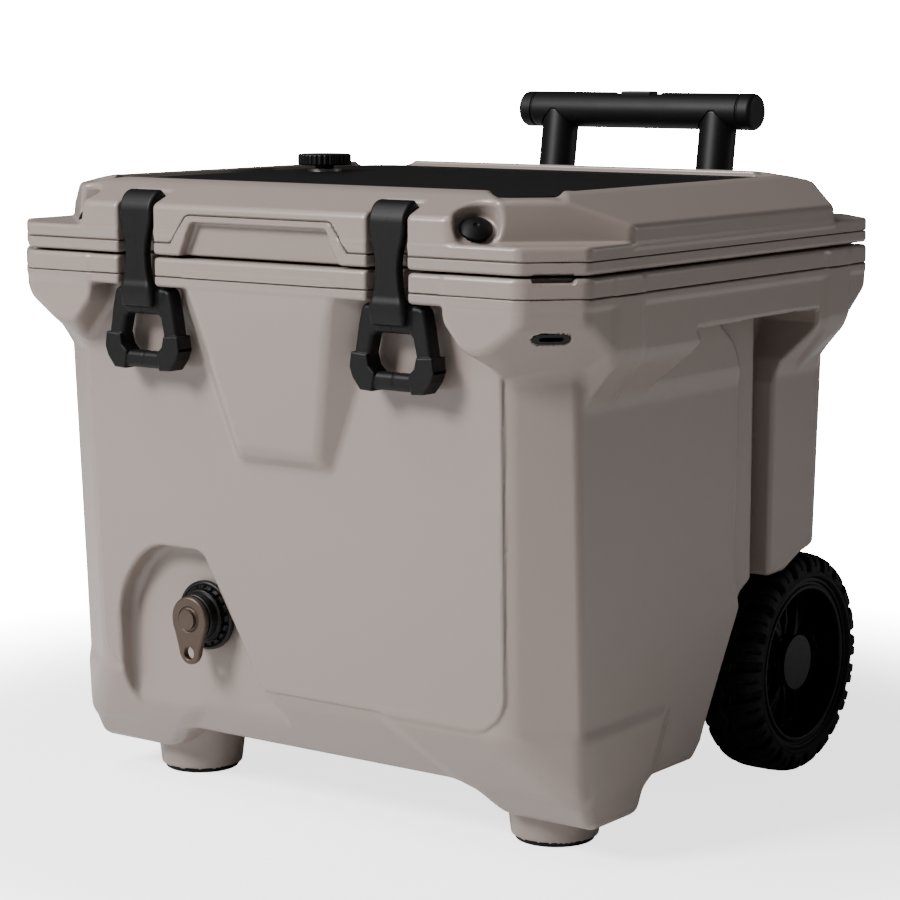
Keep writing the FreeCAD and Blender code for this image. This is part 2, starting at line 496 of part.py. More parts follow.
# ---------------------------------------------------------------- telescopic handle
g0 = on_slide(0, GRIP_S)
grip = tube(GRIP_R, 13.2, (-GRIP_HALF + 3, g0[1], g0[2]), (GRIP_HALF - 3, g0[1], g0[2]))
caps = [fuse(cyl(GRIP_R - 1.5, (s * (GRIP_HALF - 3), g0[1], g0[2]), (s * GRIP_HALF, g0[1], g0[2]))) for s in (-1, 1)]
grip = grip.fuse(caps).removeSplitter()
bar = cyl(13.0, (-GRIP_HALF + 3, g0[1], g0[2]), (GRIP_HALF - 3, g0[1], g0[2]))
posts = []
for sx in (-1, 1):
    a, b = on_slide(sx * POST_X, GRIP_S - 52), on_slide(sx * POST_X, GRIP_S)
    posts.append(cyl(16.5, a, b))
    grip = grip.cut(cyl(16.8, on_slide(sx * POST_X, GRIP_S - 60), on_slide(sx * POST_X, GRIP_S)))
yoke = fuse(bar, *posts)
btn_pocket = box(-17, 17, g0[1] - 8.3, g0[1] + 8.3, g0[2] + 2.0, g0[2] + 30)
grip = grip.cut(btn_pocket)
yoke = yoke.cut(btn_pocket)
for sx in (-1, 1):
    yoke = yoke.cut(cyl(11.0, on_slide(sx * POST_X, GRIP_S - 60), on_slide(sx * POST_X, GRIP_S - 12)))
out("handle_grip", grip)
out("handle_yoke", yoke)
btn = box(-16.5, 16.5, g0[1] - 7.9, g0[1] + 7.9, g0[2] + 10.5, g0[2] + 18.8)
btn = fillet(btn, 2.0, lambda e: e.BoundBox.ZMin > g0[2] + 18)
out("release_button", btn)
spr = tube(5.0, 3.6, (0, g0[1], g0[2] + 2.0), (0, g0[1], g0[2] + 10.5))
out("button_spring", spr)
UP_R, MID_R, LOW_R = 11.0, 13.5, 16.0
out("upper_tubes", group(*[tube(UP_R, 9.0, on_slide(s * POST_X, -370), on_slide(s * POST_X, GRIP_S - 12.2)) for s in (-1, 1)]))
out("middle_tubes", group(*[tube(MID_R, UP_R + FIT, on_slide(s * POST_X, -385), on_slide(s * POST_X, 30)) for s in (-1, 1)]))
out("middle_collars", group(*[tube(15.5, UP_R + FIT, on_slide(s * POST_X, 30), on_slide(s * POST_X, 42)) for s in (-1, 1)]))
out("lower_tubes", group(*[tube(LOW_R, MID_R + FIT, on_slide(s * POST_X, -400), on_slide(s * POST_X, 10)) for s in (-1, 1)]))
out("tube_bezels", group(*[tube(19.5, MID_R + 0.3, on_slide(s * POST_X, 10), on_slide(s * POST_X, 24)) for s in (-1, 1)]))

HOUS = [plane((1, 0, 0.04), (132, 0, 483)), plane((-1, 0, 0.04), (-132, 0, 483)),
        plane((0, -SL[2], SL[1]), on_slide(0, 0, -22)), plane((0, SL[2], -SL[1]), on_slide(0, 0, 22)),
        plane((0, -SL[1], -SL[2]), on_slide(0, -404)), plane((0, SL[1], SL[2]), on_slide(0, 10)),
        plane((0.707, 0.6, -0.1), on_slide(120, 0, 22)), plane((-0.707, 0.6, -0.1), on_slide(-120, 0, 22))]
HOUS_IN = [plane((1, 0, 0), (62, 0, 0)), plane((-1, 0, 0), (-62, 0, 0)),
           plane((0, -SL[2], SL[1]), on_slide(0, 0, -40)), plane((0, SL[2], -SL[1]), on_slide(0, 0, 16)),
           plane((0, -SL[1], -SL[2]), on_slide(0, -392)), plane((0, SL[1], SL[2]), on_slide(0, -4))]
hous = poly(HOUS).cut(poly(HOUS_IN))
for sx in (-1, 1):
    hous = hous.cut(cyl(LOW_R + 0.05, on_slide(sx * POST_X, -400.2), on_slide(sx * POST_X, 20)))
hs = []
for x, z in HOUS_SCR:
    s0 = (z - SLIDE0[2]) / SL[2]
    hous = hous.cut(cyl(2.6, on_slide(x, s0, -30), on_slide(x, s0, 30))).cut(cyl(5.2, on_slide(x, s0, 17), on_slide(x, s0, 40)))
    hs.append(fuse(cyl(2.0, on_slide(x, s0, -34), on_slide(x, s0, 18)), cyl(4.8, on_slide(x, s0, 17.1), on_slide(x, s0, 20.5)))
              .cut(cyl(1.7, on_slide(x, s0, 18.5), on_slide(x, s0, 22))))
out("handle_housing", hous.removeSplitter())
out("housing_screws", group(*hs))

# ---------------------------------------------------------------- wheels
wy, wz = WHEEL_Y, WHEEL_R


def wheel(sx):
    def q(x):
        return sx * x

    def c(r, a, b):
        return cyl(r, (q(a), wy, wz), (q(b), wy, wz))
    prof = [(TYRE_X0, RIM_R), (TYRE_X0, 90), (TYRE_X0 + 8, 99), (TYRE_X0 + 16, WHEEL_R), (TYRE_X1 - 16, WHEEL_R),
            (TYRE_X1 - 8, 99), (TYRE_X1, 90), (TYRE_X1, RIM_R)]
    pts = [V(q(x), wy, wz + r) for x, r in prof]
    tyre = Part.Face(Part.makePolygon(pts + [pts[0]])).revolve(V(0, wy, wz), V(1, 0, 0), 360)
    if tyre.Volume < 0:
        tyre.reverse()
    n = 22
    for i in range(n):
        a = 2 * math.pi * i / n
        for x0, x1, off in ((TYRE_X0 - 1, TYRE_X0 + 22, 0.0), (TYRE_X1 - 22, TYRE_X1 + 1, math.pi / n)):
            xx0, xx1 = sorted((q(x0), q(x1)))
            b = box(xx0, xx1, wy - 3.2, wy + 3.2, wz + 93, wz + 106)
            b.rotate(V(0, wy, wz), V(1, 0, 0), math.degrees(a + off))
            tyre = tyre.cut(b)
    ring = c(RIM_R - 0.1, TYRE_X0 + 3, TYRE_X1 - 3).cut(c(68, TYRE_X0, TYRE_X1))
    hub = c(22, 212, 252)
    rim = ring.fuse(hub)
    for i in range(6):
        a = 60 * i
        x0, x1 = sorted((q(222), q(244)))
        s1 = box(x0, x1, wy - 7, wy + 7, wz + 15, wz + 72)
        s1.rotate(V(0, wy, wz), V(1, 0, 0), a)
        rim = rim.fuse(s1)
        for d in (-1, 1):
            x2, x3 = sorted((q(226), q(238)))
            s2 = box(x2, x3, wy - 2.4 + d * 13, wy + 2.4 + d * 13, wz + 14, wz + 70)
            s2.rotate(V(0, wy + d * 13, wz + 14), V(1, 0, 0), -d * 12)
            s2.rotate(V(0, wy, wz), V(1, 0, 0), a)
            rim = rim.fuse(s2)
    rim = rim.removeSplitter()
    rim = rim.cut(c(AXLE_R + FIT, 200, 260)).cut(c(12, 246, 260))
    cap = c(25, 252, 256.5).fuse(c(11.8, 248, 252)).removeSplitter()
    cap = cap.cut(c(AXLE_R + 1.0, 240, 251.5))
    return tyre, rim, cap


tl, rl, cl = wheel(-1)
tr, rr, cr = wheel(1)
out("tyre_left", tl)
out("tyre_right", tr)
out("rim_left", rl)
out("rim_right", rr)
out("hub_cap_left", cl)
out("hub_cap_right", cr)
out("axle", cyl(AXLE_R, (-247.5, wy, wz), (247.5, wy, wz)))
out("axle_clips", group(*[tube(9.5, AXLE_R + 0.02, (s * 246.2, wy, wz), (s * 247.4, wy, wz)) for s in (-1, 1)]))
out("axle_bushes", group(*[fuse(tube(8.95, AXLE_R + 0.02, (s * 170, wy, wz), (s * WELL_X, wy, wz)),
                                tube(14, AXLE_R + 0.02, (s * WELL_X, wy, wz), (s * (WELL_X + 5), wy, wz))) for s in (-1, 1)]))
out("axle_washers", group(*[tube(13, AXLE_R + 0.02, (s * (WELL_X + 5.1), wy, wz), (s * 211.6, wy, wz)) for s in (-1, 1)]))

# ---------------------------------------------------------------- feet
pads, fscr = [], []
for s in (-1, 1):
    p = fuse(Part.makeCone(FOOT_R - 3, FOOT_R, 4, V(s * FOOT_X, FOOT_Y, 0)), cyl(FOOT_R, (s * FOOT_X, FOOT_Y, 4), (s * FOOT_X, FOOT_Y, 9)))
    p = p.cut(cyl(3.4, (s * FOOT_X, FOOT_Y, -1), (s * FOOT_X, FOOT_Y, 12))).cut(cyl(7.5, (s * FOOT_X, FOOT_Y, -1), (s * FOOT_X, FOOT_Y, 4)))
    pads.append(p)
    fscr.append(fuse(cyl(3.0, (s * FOOT_X, FOOT_Y, 1.5), (s * FOOT_X, FOOT_Y, 32)), cyl(6.5, (s * FOOT_X, FOOT_Y, 1.0), (s * FOOT_X, FOOT_Y, 4))))
out("foot_pads", group(*pads))
out("foot_screws", group(*fscr))

# ---------------------------------------------------------------- drain tap
tx, tz, ty = TAP_X, TAP_Z, TAP_WALL_Y


def ty_cyl(r, a, b):
    return cyl(r, (tx, a, tz), (tx, b, tz))


out("tap_seal", ty_cyl(25, ty - 3, ty).cut(ty_cyl(13.1, ty - 4, ty + 1)))
tap = fuse(ty_cyl(30.5, ty - 9, ty - 3), ty_cyl(21, ty - 24, ty - 9), ty_cyl(13, ty - 3, -168))
tap = tap.cut(ty_cyl(9, ty + 2, -160)).cut(ty_cyl(3.05, ty - 30, ty - 4))
tap = tap.cut(cyl(5.5, (tx, ty - 4, tz), (tx, ty - 4, tz)) if False else box(tx - 5, tx + 5, ty - 20, ty - 10, tz - 23, tz - 6))
out("tap_body", tap)
NUT_Y = -183.2
nut = Part.makeCylinder(22, 9, V(tx, NUT_Y, tz), V(0, 1, 0)).common(
    prism([(tx + 22 * math.cos(math.radians(60 * i)), tz + 22 * math.sin(math.radians(60 * i))) for i in range(6)], "Y", -200, -150))
nut = nut.cut(ty_cyl(13.02, -200, -150))
out("tap_nut", nut)
ly = ty - 24.3
lev = fuse(cyl(19.5, (tx, ly - 6, tz), (tx, ly, tz)),
           prism([(tx - 18.5, tz - 5), (tx - 10.4, tz - 31), (tx + 10.4, tz - 31), (tx + 18.5, tz - 5)], "Y", ly - 6, ly),
           cyl(11.0, (tx, ly - 6, tz - 29), (tx, ly, tz - 29)))
lev = lev.cut(cyl(3.1, (tx, ly - 10, tz), (tx, ly + 5, tz))).cut(cyl(5.4, (tx, ly - 10, tz - 30), (tx, ly + 5, tz - 30)))
out("tap_lever", lev)
out("tap_screw", fuse(cyl(3.0, (tx, ly - 6, tz), (tx, ty - 6, tz)), cyl(8.5, (tx, ly - 9, tz), (tx, ly - 6, tz))))

bb = [min(b.XMin for _, b in ALL), max(b.XMax for _, b in ALL), min(b.YMin for _, b in ALL), max(b.YMax for _, b in ALL),
      min(b.ZMin for _, b in ALL), max(b.ZMax for _, b in ALL)]
print("whole", ["%.3f" % c for c in bb], "centre y %.4f" % ((bb[2] + bb[3]) / 2), "nodes", len(ALL))
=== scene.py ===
import bpy
import json
import math
import time
import numpy as np
from concurrent.futures import ThreadPoolExecutor
from mathutils import Matrix, Vector


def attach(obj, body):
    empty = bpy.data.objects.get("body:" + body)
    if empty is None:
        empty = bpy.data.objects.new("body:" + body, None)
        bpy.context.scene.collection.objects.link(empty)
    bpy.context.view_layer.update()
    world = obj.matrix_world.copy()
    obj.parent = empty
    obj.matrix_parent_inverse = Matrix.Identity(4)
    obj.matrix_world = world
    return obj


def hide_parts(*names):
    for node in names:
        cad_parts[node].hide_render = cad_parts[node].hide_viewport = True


T0 = time.time()
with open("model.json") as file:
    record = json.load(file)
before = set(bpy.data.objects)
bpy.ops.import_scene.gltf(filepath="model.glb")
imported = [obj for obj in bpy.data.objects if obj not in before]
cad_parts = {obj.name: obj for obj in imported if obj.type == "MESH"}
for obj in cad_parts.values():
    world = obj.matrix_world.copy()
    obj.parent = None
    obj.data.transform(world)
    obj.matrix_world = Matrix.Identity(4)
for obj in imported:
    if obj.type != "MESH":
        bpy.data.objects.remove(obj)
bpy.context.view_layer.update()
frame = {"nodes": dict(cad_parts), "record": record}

# Everything below is in millimetres in a working frame whose Y = 0 is the middle of the rim;
# YS moves it to the row frame, and meshes are written in metres.
YS = -35.296
F = np.float32
RIM_X, RIM_Y, CH_X, CH_Y = 300.0, 264.0, 259.0, 225.0
SEAM_Z, LID_Z0, LID_Z1, MAT_Z = 483.0, 485.0, 546.0, 541.0
LATCH_X, LATCH_PIN_Y, LATCH_PIN_Z = 133.5, -249.0, 528.5
HINGE_Y, HINGE_Z = 246.0, 518.0
BRK_X, POST_X = 175.0, 91.0
GRIP_HALF = 133.5
TILT = math.radians(8.6)
SL = (0.0, math.sin(TILT), math.cos(TILT))
WHEEL_Y, WHEEL_R = 191.0, 101.0
TAP_X, TAP_Z, TAP_WALL_Y = -107.0, 168.0, -203.0
KNOB_X, KNOB_Y = -189.0, 60.0
FOOT_X, FOOT_Y = 200.0, -112.0
GRIP_S = 114.3


def on_slide(x, s, off=0.0):
    return (x, 300.0 + s * SL[1] + off * SL[2], 483.0 + s * SL[2] - off * SL[1])


# ---------------------------------------------------------------- distance fields
def plane(n, p):
    L = math.sqrt(sum(c * c for c in n))
    n = tuple(c / L for c in n)
    return n, sum(a * b for a, b in zip(n, p))


def plane3(a, b, c, inside):
    u = [b[i] - a[i] for i in range(3)]
    w = [c[i] - a[i] for i in range(3)]
    n = (u[1] * w[2] - u[2] * w[1], u[2] * w[0] - u[0] * w[2], u[0] * w[1] - u[1] * w[0])
    if sum(n[i] * (inside[i] - a[i]) for i in range(3)) > 0:
        n = tuple(-c for c in n)
    return plane(n, a)


def mxp(planes):
    return [((-n[0], n[1], n[2]), d) for n, d in planes]


def myp(planes):
    return [((n[0], -n[1], n[2]), d) for n, d in planes]


def hull(P, planes, r=0.0, grow=0.0):
    """Rounded convex solid. Outside edges get about radius r."""
    X, Y, Z = P
    m = None
    s = None
    for n, d in planes:
        a = F(-d - grow)
        if n[0]:
            a = a + F(n[0]) * X
        if n[1]:
            a = a + F(n[1]) * Y
        if n[2]:
            a = a + F(n[2]) * Z
        m = a if m is None else np.maximum(m, a)
        if r:
            t = np.maximum(a + F(r), F(0))
            t = t * t
            s = t if s is None else s + t
    if not r:
        return m
    return np.minimum(m, F(-r)) + np.sqrt(s)


def inter(r, *fs):
    m = fs[0]
    s = None
    for f in fs:
        m = np.maximum(m, f)
        t = np.maximum(f + F(r), F(0))
        s = t * t if s is None else s + t * t
    return np.minimum(m, F(-r)) + np.sqrt(s)


def union(r, *fs):
    if not r:
        m = fs[0]
        for f in fs[1:]:
            m = np.minimum(m, f)
        return m
    return -inter(r, *[-f for f in fs])


def cut(r, a, b):
    """a without b, the new outside edge rounded by r."""
    return inter(r, a, -b) if r else np.maximum(a, -b)


def cyl(P, axis, c, R):
    """Endless cylinder along X, Y or Z (0, 1, 2) through c."""
    o = [i for i in range(3) if i != axis]
    return np.sqrt((P[o[0]] - F(c[o[0]])) ** 2 + (P[o[1]] - F(c[o[1]])) ** 2) - F(R)


def slab(p, a, b):
    return np.maximum(F(a) - p, p - F(b))


def boxf(P, x0, x1, y0, y1, z0, z1, r=0.0):
    return hull(P, [((-1, 0, 0), -x0), ((1, 0, 0), x1), ((0, -1, 0), -y0), ((0, 1, 0), y1), ((0, 0, -1), -z0), ((0, 0, 1), z1)], r)


def prism_planes(pts, axis, a, b):
    """Planes of a convex polygon's prism. pts are (y, z), (x, z) or (x, y)."""
    area = sum(pts[i][0] * pts[(i + 1) % len(pts)][1] - pts[(i + 1) % len(pts)][0] * pts[i][1] for i in range(len(pts)))
    if area < 0:
        pts = pts[::-1]
    ps = []
    for i in range(len(pts)):
        (p0, q0), (p1, q1) = pts[i], pts[(i + 1) % len(pts)]
        n = (q1 - q0, -(p1 - p0))
        L = math.hypot(*n)
        n = (n[0] / L, n[1] / L)
        d = n[0] * p0 + n[1] * q0
        nn = {"X": (0, n[0], n[1]), "Y": (n[0], 0, n[1]), "Z": (n[0], n[1], 0)}[axis]
        ps.append((nn, d))
    k = "XYZ".index(axis)
    e = [0, 0, 0]
    e[k] = 1
    ps.append((tuple(e), b))
    ps.append((tuple(-c for c in e), -a))
    return ps


def poly2(U, W, pts):
    """Signed distance to any simple polygon, in the plane of U and W."""
    U, W = np.broadcast_arrays(U, W)
    d = np.full(U.shape, 1e9, F)
    inside = np.zeros(U.shape, bool)
    n = len(pts)
    for i in range(n):
        (ax, ay), (bx, by) = pts[i], pts[(i + 1) % n]
        ex, ey = bx - ax, by - ay
        px, py = U - F(ax), W - F(ay)
        t = np.clip((px * F(ex) + py * F(ey)) / F(ex * ex + ey * ey), 0, 1)
        d = np.minimum(d, (px - t * F(ex)) ** 2 + (py - t * F(ey)) ** 2)
        c = (ay > W) != (by > W)
        if ey:
            inside ^= c & (U < F(ex / ey) * (W - F(ay)) + F(ax))
    d = np.sqrt(d)
    return np.where(inside, -d, d).astype(F)


# ---------------------------------------------------------------- meshing
def lines(spans):
    """Grid lines from [(start, step), ..., (end, None)]."""
    out = []
    for (a, st), (b, _) in zip(spans[:-1], spans[1:]):
        n = max(1, int(round((b - a) / st)))
        out.extend(a + (b - a) * i / n for i in range(n))
    out.append(spans[-1][0])
    return np.array(out, F)


def field(f, xs, ys, zs):
    nx = len(xs)
    Y, Z = ys[None, :, None], zs[None, None, :]
    D = np.empty((nx, len(ys), len(zs)), F)

    def work(i):
        j = min(i + 6, nx)
        D[i:j] = f((xs[i:j, None, None], Y, Z))
    with ThreadPoolExecutor(4) as ex:
        list(ex.map(work, range(0, nx, 6)))
    return D


def points(f, p):
    out = np.empty(len(p), F)

    def work(i):
        q = p[i:i + 20000]
        out[i:i + 20000] = f((q[:, 0], q[:, 1], q[:, 2]))
    with ThreadPoolExecutor(4) as ex:
        list(ex.map(work, range(0, len(p), 20000)))
    return out


def gradient(f, p, h=0.15):
    K = np.array([[1, -1, -1], [-1, -1, 1], [-1, 1, -1], [1, 1, 1]], F)
    g = np.zeros((len(p), 3), F)
    for k in K:
        g += points(f, (p + k * F(h)).astype(F))[:, None] * k
    return g / F(4 * h)


def nets(f, xs, ys, zs, newton=3):
    D = field(f, xs, ys, zs)
    S = D < 0
    c = np.zeros([n - 1 for n in D.shape], np.int8)
    for a in (0, 1):
        for b in (0, 1):
            for e in (0, 1):
                c += S[a:a + c.shape[0], b:b + c.shape[1], e:e + c.shape[2]]
    act = (c > 0) & (c < 8)
    ii = np.argwhere(act)
    idx = np.full(act.shape, -1, np.int32)
    idx[act] = np.arange(len(ii))
    G = [xs, ys, zs]
    acc = np.zeros((len(ii), 3), np.float64)
    cnt = np.zeros(len(ii))
    corner = {}
    for a in (0, 1):
        for b in (0, 1):
            for e in (0, 1):
                corner[a, b, e] = D[ii[:, 0] + a, ii[:, 1] + b, ii[:, 2] + e]
    for ax in range(3):
        o = [k for k in range(3) if k != ax]
        for a in (0, 1):
            for b in (0, 1):
                c0, c1 = [0, 0, 0], [0, 0, 0]
                c0[o[0]] = c1[o[0]] = a
                c0[o[1]] = c1[o[1]] = b
                c1[ax] = 1
                d0, d1 = corner[tuple(c0)], corner[tuple(c1)]
                cr = (d0 < 0) != (d1 < 0)
                t = np.where(cr, d0 / np.where(cr, d0 - d1, 1), 0)
                g0, g1 = G[ax][ii[:, ax]], G[ax][ii[:, ax] + 1]
                acc[:, ax] += np.where(cr, g0 + t * (g1 - g0), 0)
                acc[:, o[0]] += np.where(cr, G[o[0]][ii[:, o[0]] + a], 0)
                acc[:, o[1]] += np.where(cr, G[o[1]][ii[:, o[1]] + b], 0)
                cnt += cr
    v = (acc / cnt[:, None]).astype(F)
    lo = np.stack([G[k][ii[:, k]] for k in range(3)], 1)
    hi = np.stack([G[k][ii[:, k] + 1] for k in range(3)], 1)
    pad = (hi - lo) * F(0.35)
    for _ in range(newton):
        d = points(f, v)
        g = gradient(f, v)
        L = np.maximum((g * g).sum(1), F(0.2))
        v = v - g * (d / L)[:, None]
        v = np.clip(v, lo - pad, hi + pad).astype(F)
    quads = []
    for ax in range(3):
        o = [k for k in range(3) if k != ax]
        A = [slice(None)] * 3
        B = [slice(None)] * 3
        A[ax], B[ax] = slice(0, -1), slice(1, None)
        s0, s1 = S[tuple(A)], S[tuple(B)]
        e = s0 != s1
        e[tuple(slice(None) if k == ax else slice(0, 1) for k in range(3))] = False
        for k in o:
            w = [slice(None)] * 3
            w[k] = slice(0, 1)
            e[tuple(w)] = False
            w[k] = slice(-1, None)
            e[tuple(w)] = False
        q = np.argwhere(e)
        if not len(q):
            continue
        s = s0[e]
        quad = []
        for a, b in ((-1, -1), (0, -1), (0, 0), (-1, 0)):
            w = q.copy()
            w[:, o[0]] += a
            w[:, o[1]] += b
            quad.append(idx[w[:, 0], w[:, 1], w[:, 2]])
        quad = np.stack(quad, 1)
        flip = s if ax != 1 else ~s
        quad[~flip] = quad[~flip][:, ::-1]
        quads.append(quad)
    quads = np.concatenate(quads)
    quads = quads[(quads >= 0).all(1)]
    return v, quads


def to_m(v):
    w = np.asarray(v, np.float64).copy()
    w[:, 1] += YS
    return w / 1000.0


def mesh_obj(name, verts_m, faces, normals=None, smooth=True):
    me = bpy.data.meshes.new(name)
    faces = np.asarray(faces)
    if faces.dtype != object and faces.ndim == 2:
        k = faces.shape[1]
        me.vertices.add(len(verts_m))
        me.vertices.foreach_set("co", np.asarray(verts_m, np.float32).ravel())
        me.loops.add(faces.size)
        me.loops.foreach_set("vertex_index", faces.astype(np.int32).ravel())
        me.polygons.add(len(faces))
        me.polygons.foreach_set("loop_start", np.arange(0, faces.size, k, dtype=np.int32))
        me.update(calc_edges=True)
        me.validate()
    else:
        me.from_pydata([tuple(v) for v in verts_m], [], [tuple(f) for f in faces])
        me.validate()
    if smooth:
        me.polygons.foreach_set("use_smooth", np.ones(len(me.polygons), bool))
    o = bpy.data.objects.new(name, me)
    bpy.context.scene.collection.objects.link(o)
    if normals is not None:
        me.normals_split_custom_set_from_vertices([tuple(n) for n in normals])
    return o


def dissolve(o, deg):
    m = o.modifiers.new("dissolve", "DECIMATE")
    m.decimate_type = "DISSOLVE"
    m.angle_limit = math.radians(deg)
    bpy.context.view_layer.objects.active = o
    dg = bpy.context.evaluated_depsgraph_get()
    ev = bpy.data.meshes.new_from_object(o.evaluated_get(dg))
    o.modifiers.clear()
    old = o.data
    o.data = ev
    bpy.data.meshes.remove(old)
    ev.name = o.name


def solid(name, f, xs, ys, zs, deg=0.35, newton=3):
    """Mesh of the field f with exact normals."""
    t = time.time()
    v, q = nets(f, xs, ys, zs, newton)
    o = mesh_obj(name, to_m(v), q)
    n0 = len(q)
    if deg:
        dissolve(o, deg)
    me = o.data
    me.polygons.foreach_set("use_smooth", np.ones(len(me.polygons), bool))
    co = np.zeros(len(me.vertices) * 3, np.float32)
    me.vertices.foreach_get("co", co)
    co = co.reshape(-1, 3) * 1000.0
    co[:, 1] -= YS
    g = gradient(f, co.astype(F), 0.25)
    g /= np.maximum(np.linalg.norm(g, axis=1, keepdims=True), 1e-6)
    me.normals_split_custom_set_from_vertices(g.astype(float).tolist())
    print("  %-16s grid %dx%dx%d quads %d faces %d verts %d  %.1fs" % (
        name, len(xs), len(ys), len(zs), n0, len(me.polygons), len(me.vertices), time.time() - t))
    return o


# ---------------------------------------------------------------- shared envelopes (as in the design)
MAIN = [
    plane((1, 0, -0.004), (271, 0, 100)), plane((-1, 0, -0.004), (-271, 0, 100)),
    plane((0, -1, -0.0407), (0, -232, 400)), plane((0, 1, -0.05), (0, 218, 380)),
    plane((0.545, -0.837, -0.043), (223, -230.2, 380)), plane((-0.545, -0.837, -0.043), (-223, -230.2, 380)),
    plane((0.707, 0.707, -0.035), (252, 218, 380)), plane((-0.707, 0.707, -0.035), (-252, 218, 380)),
    plane((0, -0.853, -0.521), (0, -220, 110)),
    plane((0, 0, -1), (0, 0, 56)), plane((0, 0, 1), (0, 0, SEAM_Z)),
]
OUTLINE = [(CH_X, -RIM_Y), (RIM_X, -CH_Y), (RIM_X, CH_Y), (CH_X, RIM_Y),
           (-CH_X, RIM_Y), (-RIM_X, CH_Y), (-RIM_X, -CH_Y), (-CH_X, -RIM_Y)]
CORNER = [
    plane((-1, 0, 0), (186, 0, 0)), plane((-0.763, 0, -0.648), (188, 0, 444)),
    plane((0, 1, 0), (0, -150, 0)), plane((0, 0, 1), (0, 0, SEAM_Z)),
    plane((1, 0, 0), (RIM_X, 0, 0)), plane((0, -1, 0), (0, -RIM_Y, 0)),
    plane((0.689, -0.724, 0), (CH_X, -RIM_Y, 0)),
    plane((0.487, -0.512, -0.707), (279.5, -244.5, 445)),
    plane((0, -0.548, -0.836), (0, -264, 424)), plane((0.781, 0, -0.625), (300, 0, 415)),
]
SIDE = [
    plane((-1, 0, 0), (230, 0, 0)), plane((1, 0, 0), (RIM_X, 0, 0)),
    plane((0, -1, 0), (0, -190, 0)), plane((0, 1, 0), (0, 190, 0)),
    plane((0, 0, 1), (0, 0, SEAM_Z)), plane((0.781, 0, -0.625), (300, 0, 415)),
]
VIN = (0, -200, 400)
VPLATE = [
    plane3((74, -264, 455), (42, -240, 322), (85, -232, 395), VIN),
    plane3((-74, -264, 455), (-42, -240, 322), (-85, -232, 395), VIN),
    plane3((74, -264, 455), (42, -240, 322), (-42, -240, 322), VIN),
    plane((0, -0.747, -0.664), (0, -240, 322)),
    plane((0, 0, 1), (0, 0, 474)), plane((0, 1, 0), (0, -200, 0)), plane((0, -1, 0), (0, -RIM_Y, 0)),
]
FOOTBLK = [MAIN[0], MAIN[4], MAIN[8], plane((-0.676, 0, -0.737), (147, 0, 60)), plane((0, 0.895, -0.447), (0, -86, 56)),
           plane((0, 0, -1), (0, 0, 28)), plane((0, 0, 1), (0, 0, 110))]
PAD = [plane((1, 0, 0), (128, 0, 0)), plane((-1, 0, 0), (-128, 0, 0)), plane((0, -1, 0), (0, 195, 0)),
       plane((0, 0, -1), (0, 0, 84)), plane((0, 0, 1), (0, 0, 472)),
       plane((0, SL[2], -SL[1]), on_slide(0, 0, -22.4))]
WELL = [(-18, 30), (-13, 57), (-1, 69), (5, 81), (32, 128), (60, 175), (70, 187), (84, 194), (138, 196), (165, 207),
        (198, 214), (215, 226), (300, 226), (300, 30)]
WELL_X = 199.0
POCKET = [(-155, 227), (-99, 227), (-52, 142), (-12, 70), (-30, 40), (-185, 40), (-198, 92), (-198, 174), (-180, 208)]
TIE_N = np.array((0.487, -0.512, -0.707))
TIE_N /= np.linalg.norm(TIE_N)
TIE_C = np.array((279.5, -244.5, 445)) + np.array((-0.487, 0.512, -0.707)) * 14.0
TIE_U = np.array((0.724, 0.689, 0))
TIE_U = TIE_U - TIE_N * TIE_U.dot(TIE_N)
TIE_U /= np.linalg.norm(TIE_U)
TIE_W = np.cross(TIE_N, TIE_U)


def stadium(P, half, r, d0, d1):
    """Oblong plug in the scoop of the right front corner; mirrored copies pass |X| and |Y|."""
    X, Y, Z = P
    q = [X - F(TIE_C[0]), Y - F(TIE_C[1]), Z - F(TIE_C[2])]
    u = sum(F(TIE_U[i]) * q[i] for i in range(3))
    w = sum(F(TIE_W[i]) * q[i] for i in range(3))
    n = sum(F(TIE_N[i]) * q[i] for i in range(3))
    u = np.maximum(np.abs(u) - F(half), 0)
    return np.maximum(np.sqrt(u * u + w * w) - F(r), slab(n, -d1, -d0))


def side_cut(P, ax):
    """Hand hold, shelf and groove of one side; ax is |X|."""
    X, Y, Z = P
    Q = (ax, Y, Z)
    g = poly2(Y, Z, [(-104, 340), (-98, 382), (-83, 398), (-66, 412), (-58, 421), (-64, 431), (106, 431), (106, 340)])
    grab = inter(4, F(275.5) - ax, g)
    s = poly2(Y, Z, [(66, 150), (50, 213), (51, 300), (52, 356), (50, 382), (44, 398), (35, 412), (17, 425), (10, 431), (106, 431), (106, 150)])
    shelf = inter(3, F(266.5) - ax, s)
    v = poly2(Y, Z, [(85, 170), (85, 431), (137, 431), (136, 420), (127, 405), (116, 388), (110, 368), (109, 170)])
    groove = inter(6, F(240) - ax, v)
    return union(2, union(3, grab, shelf), groove)


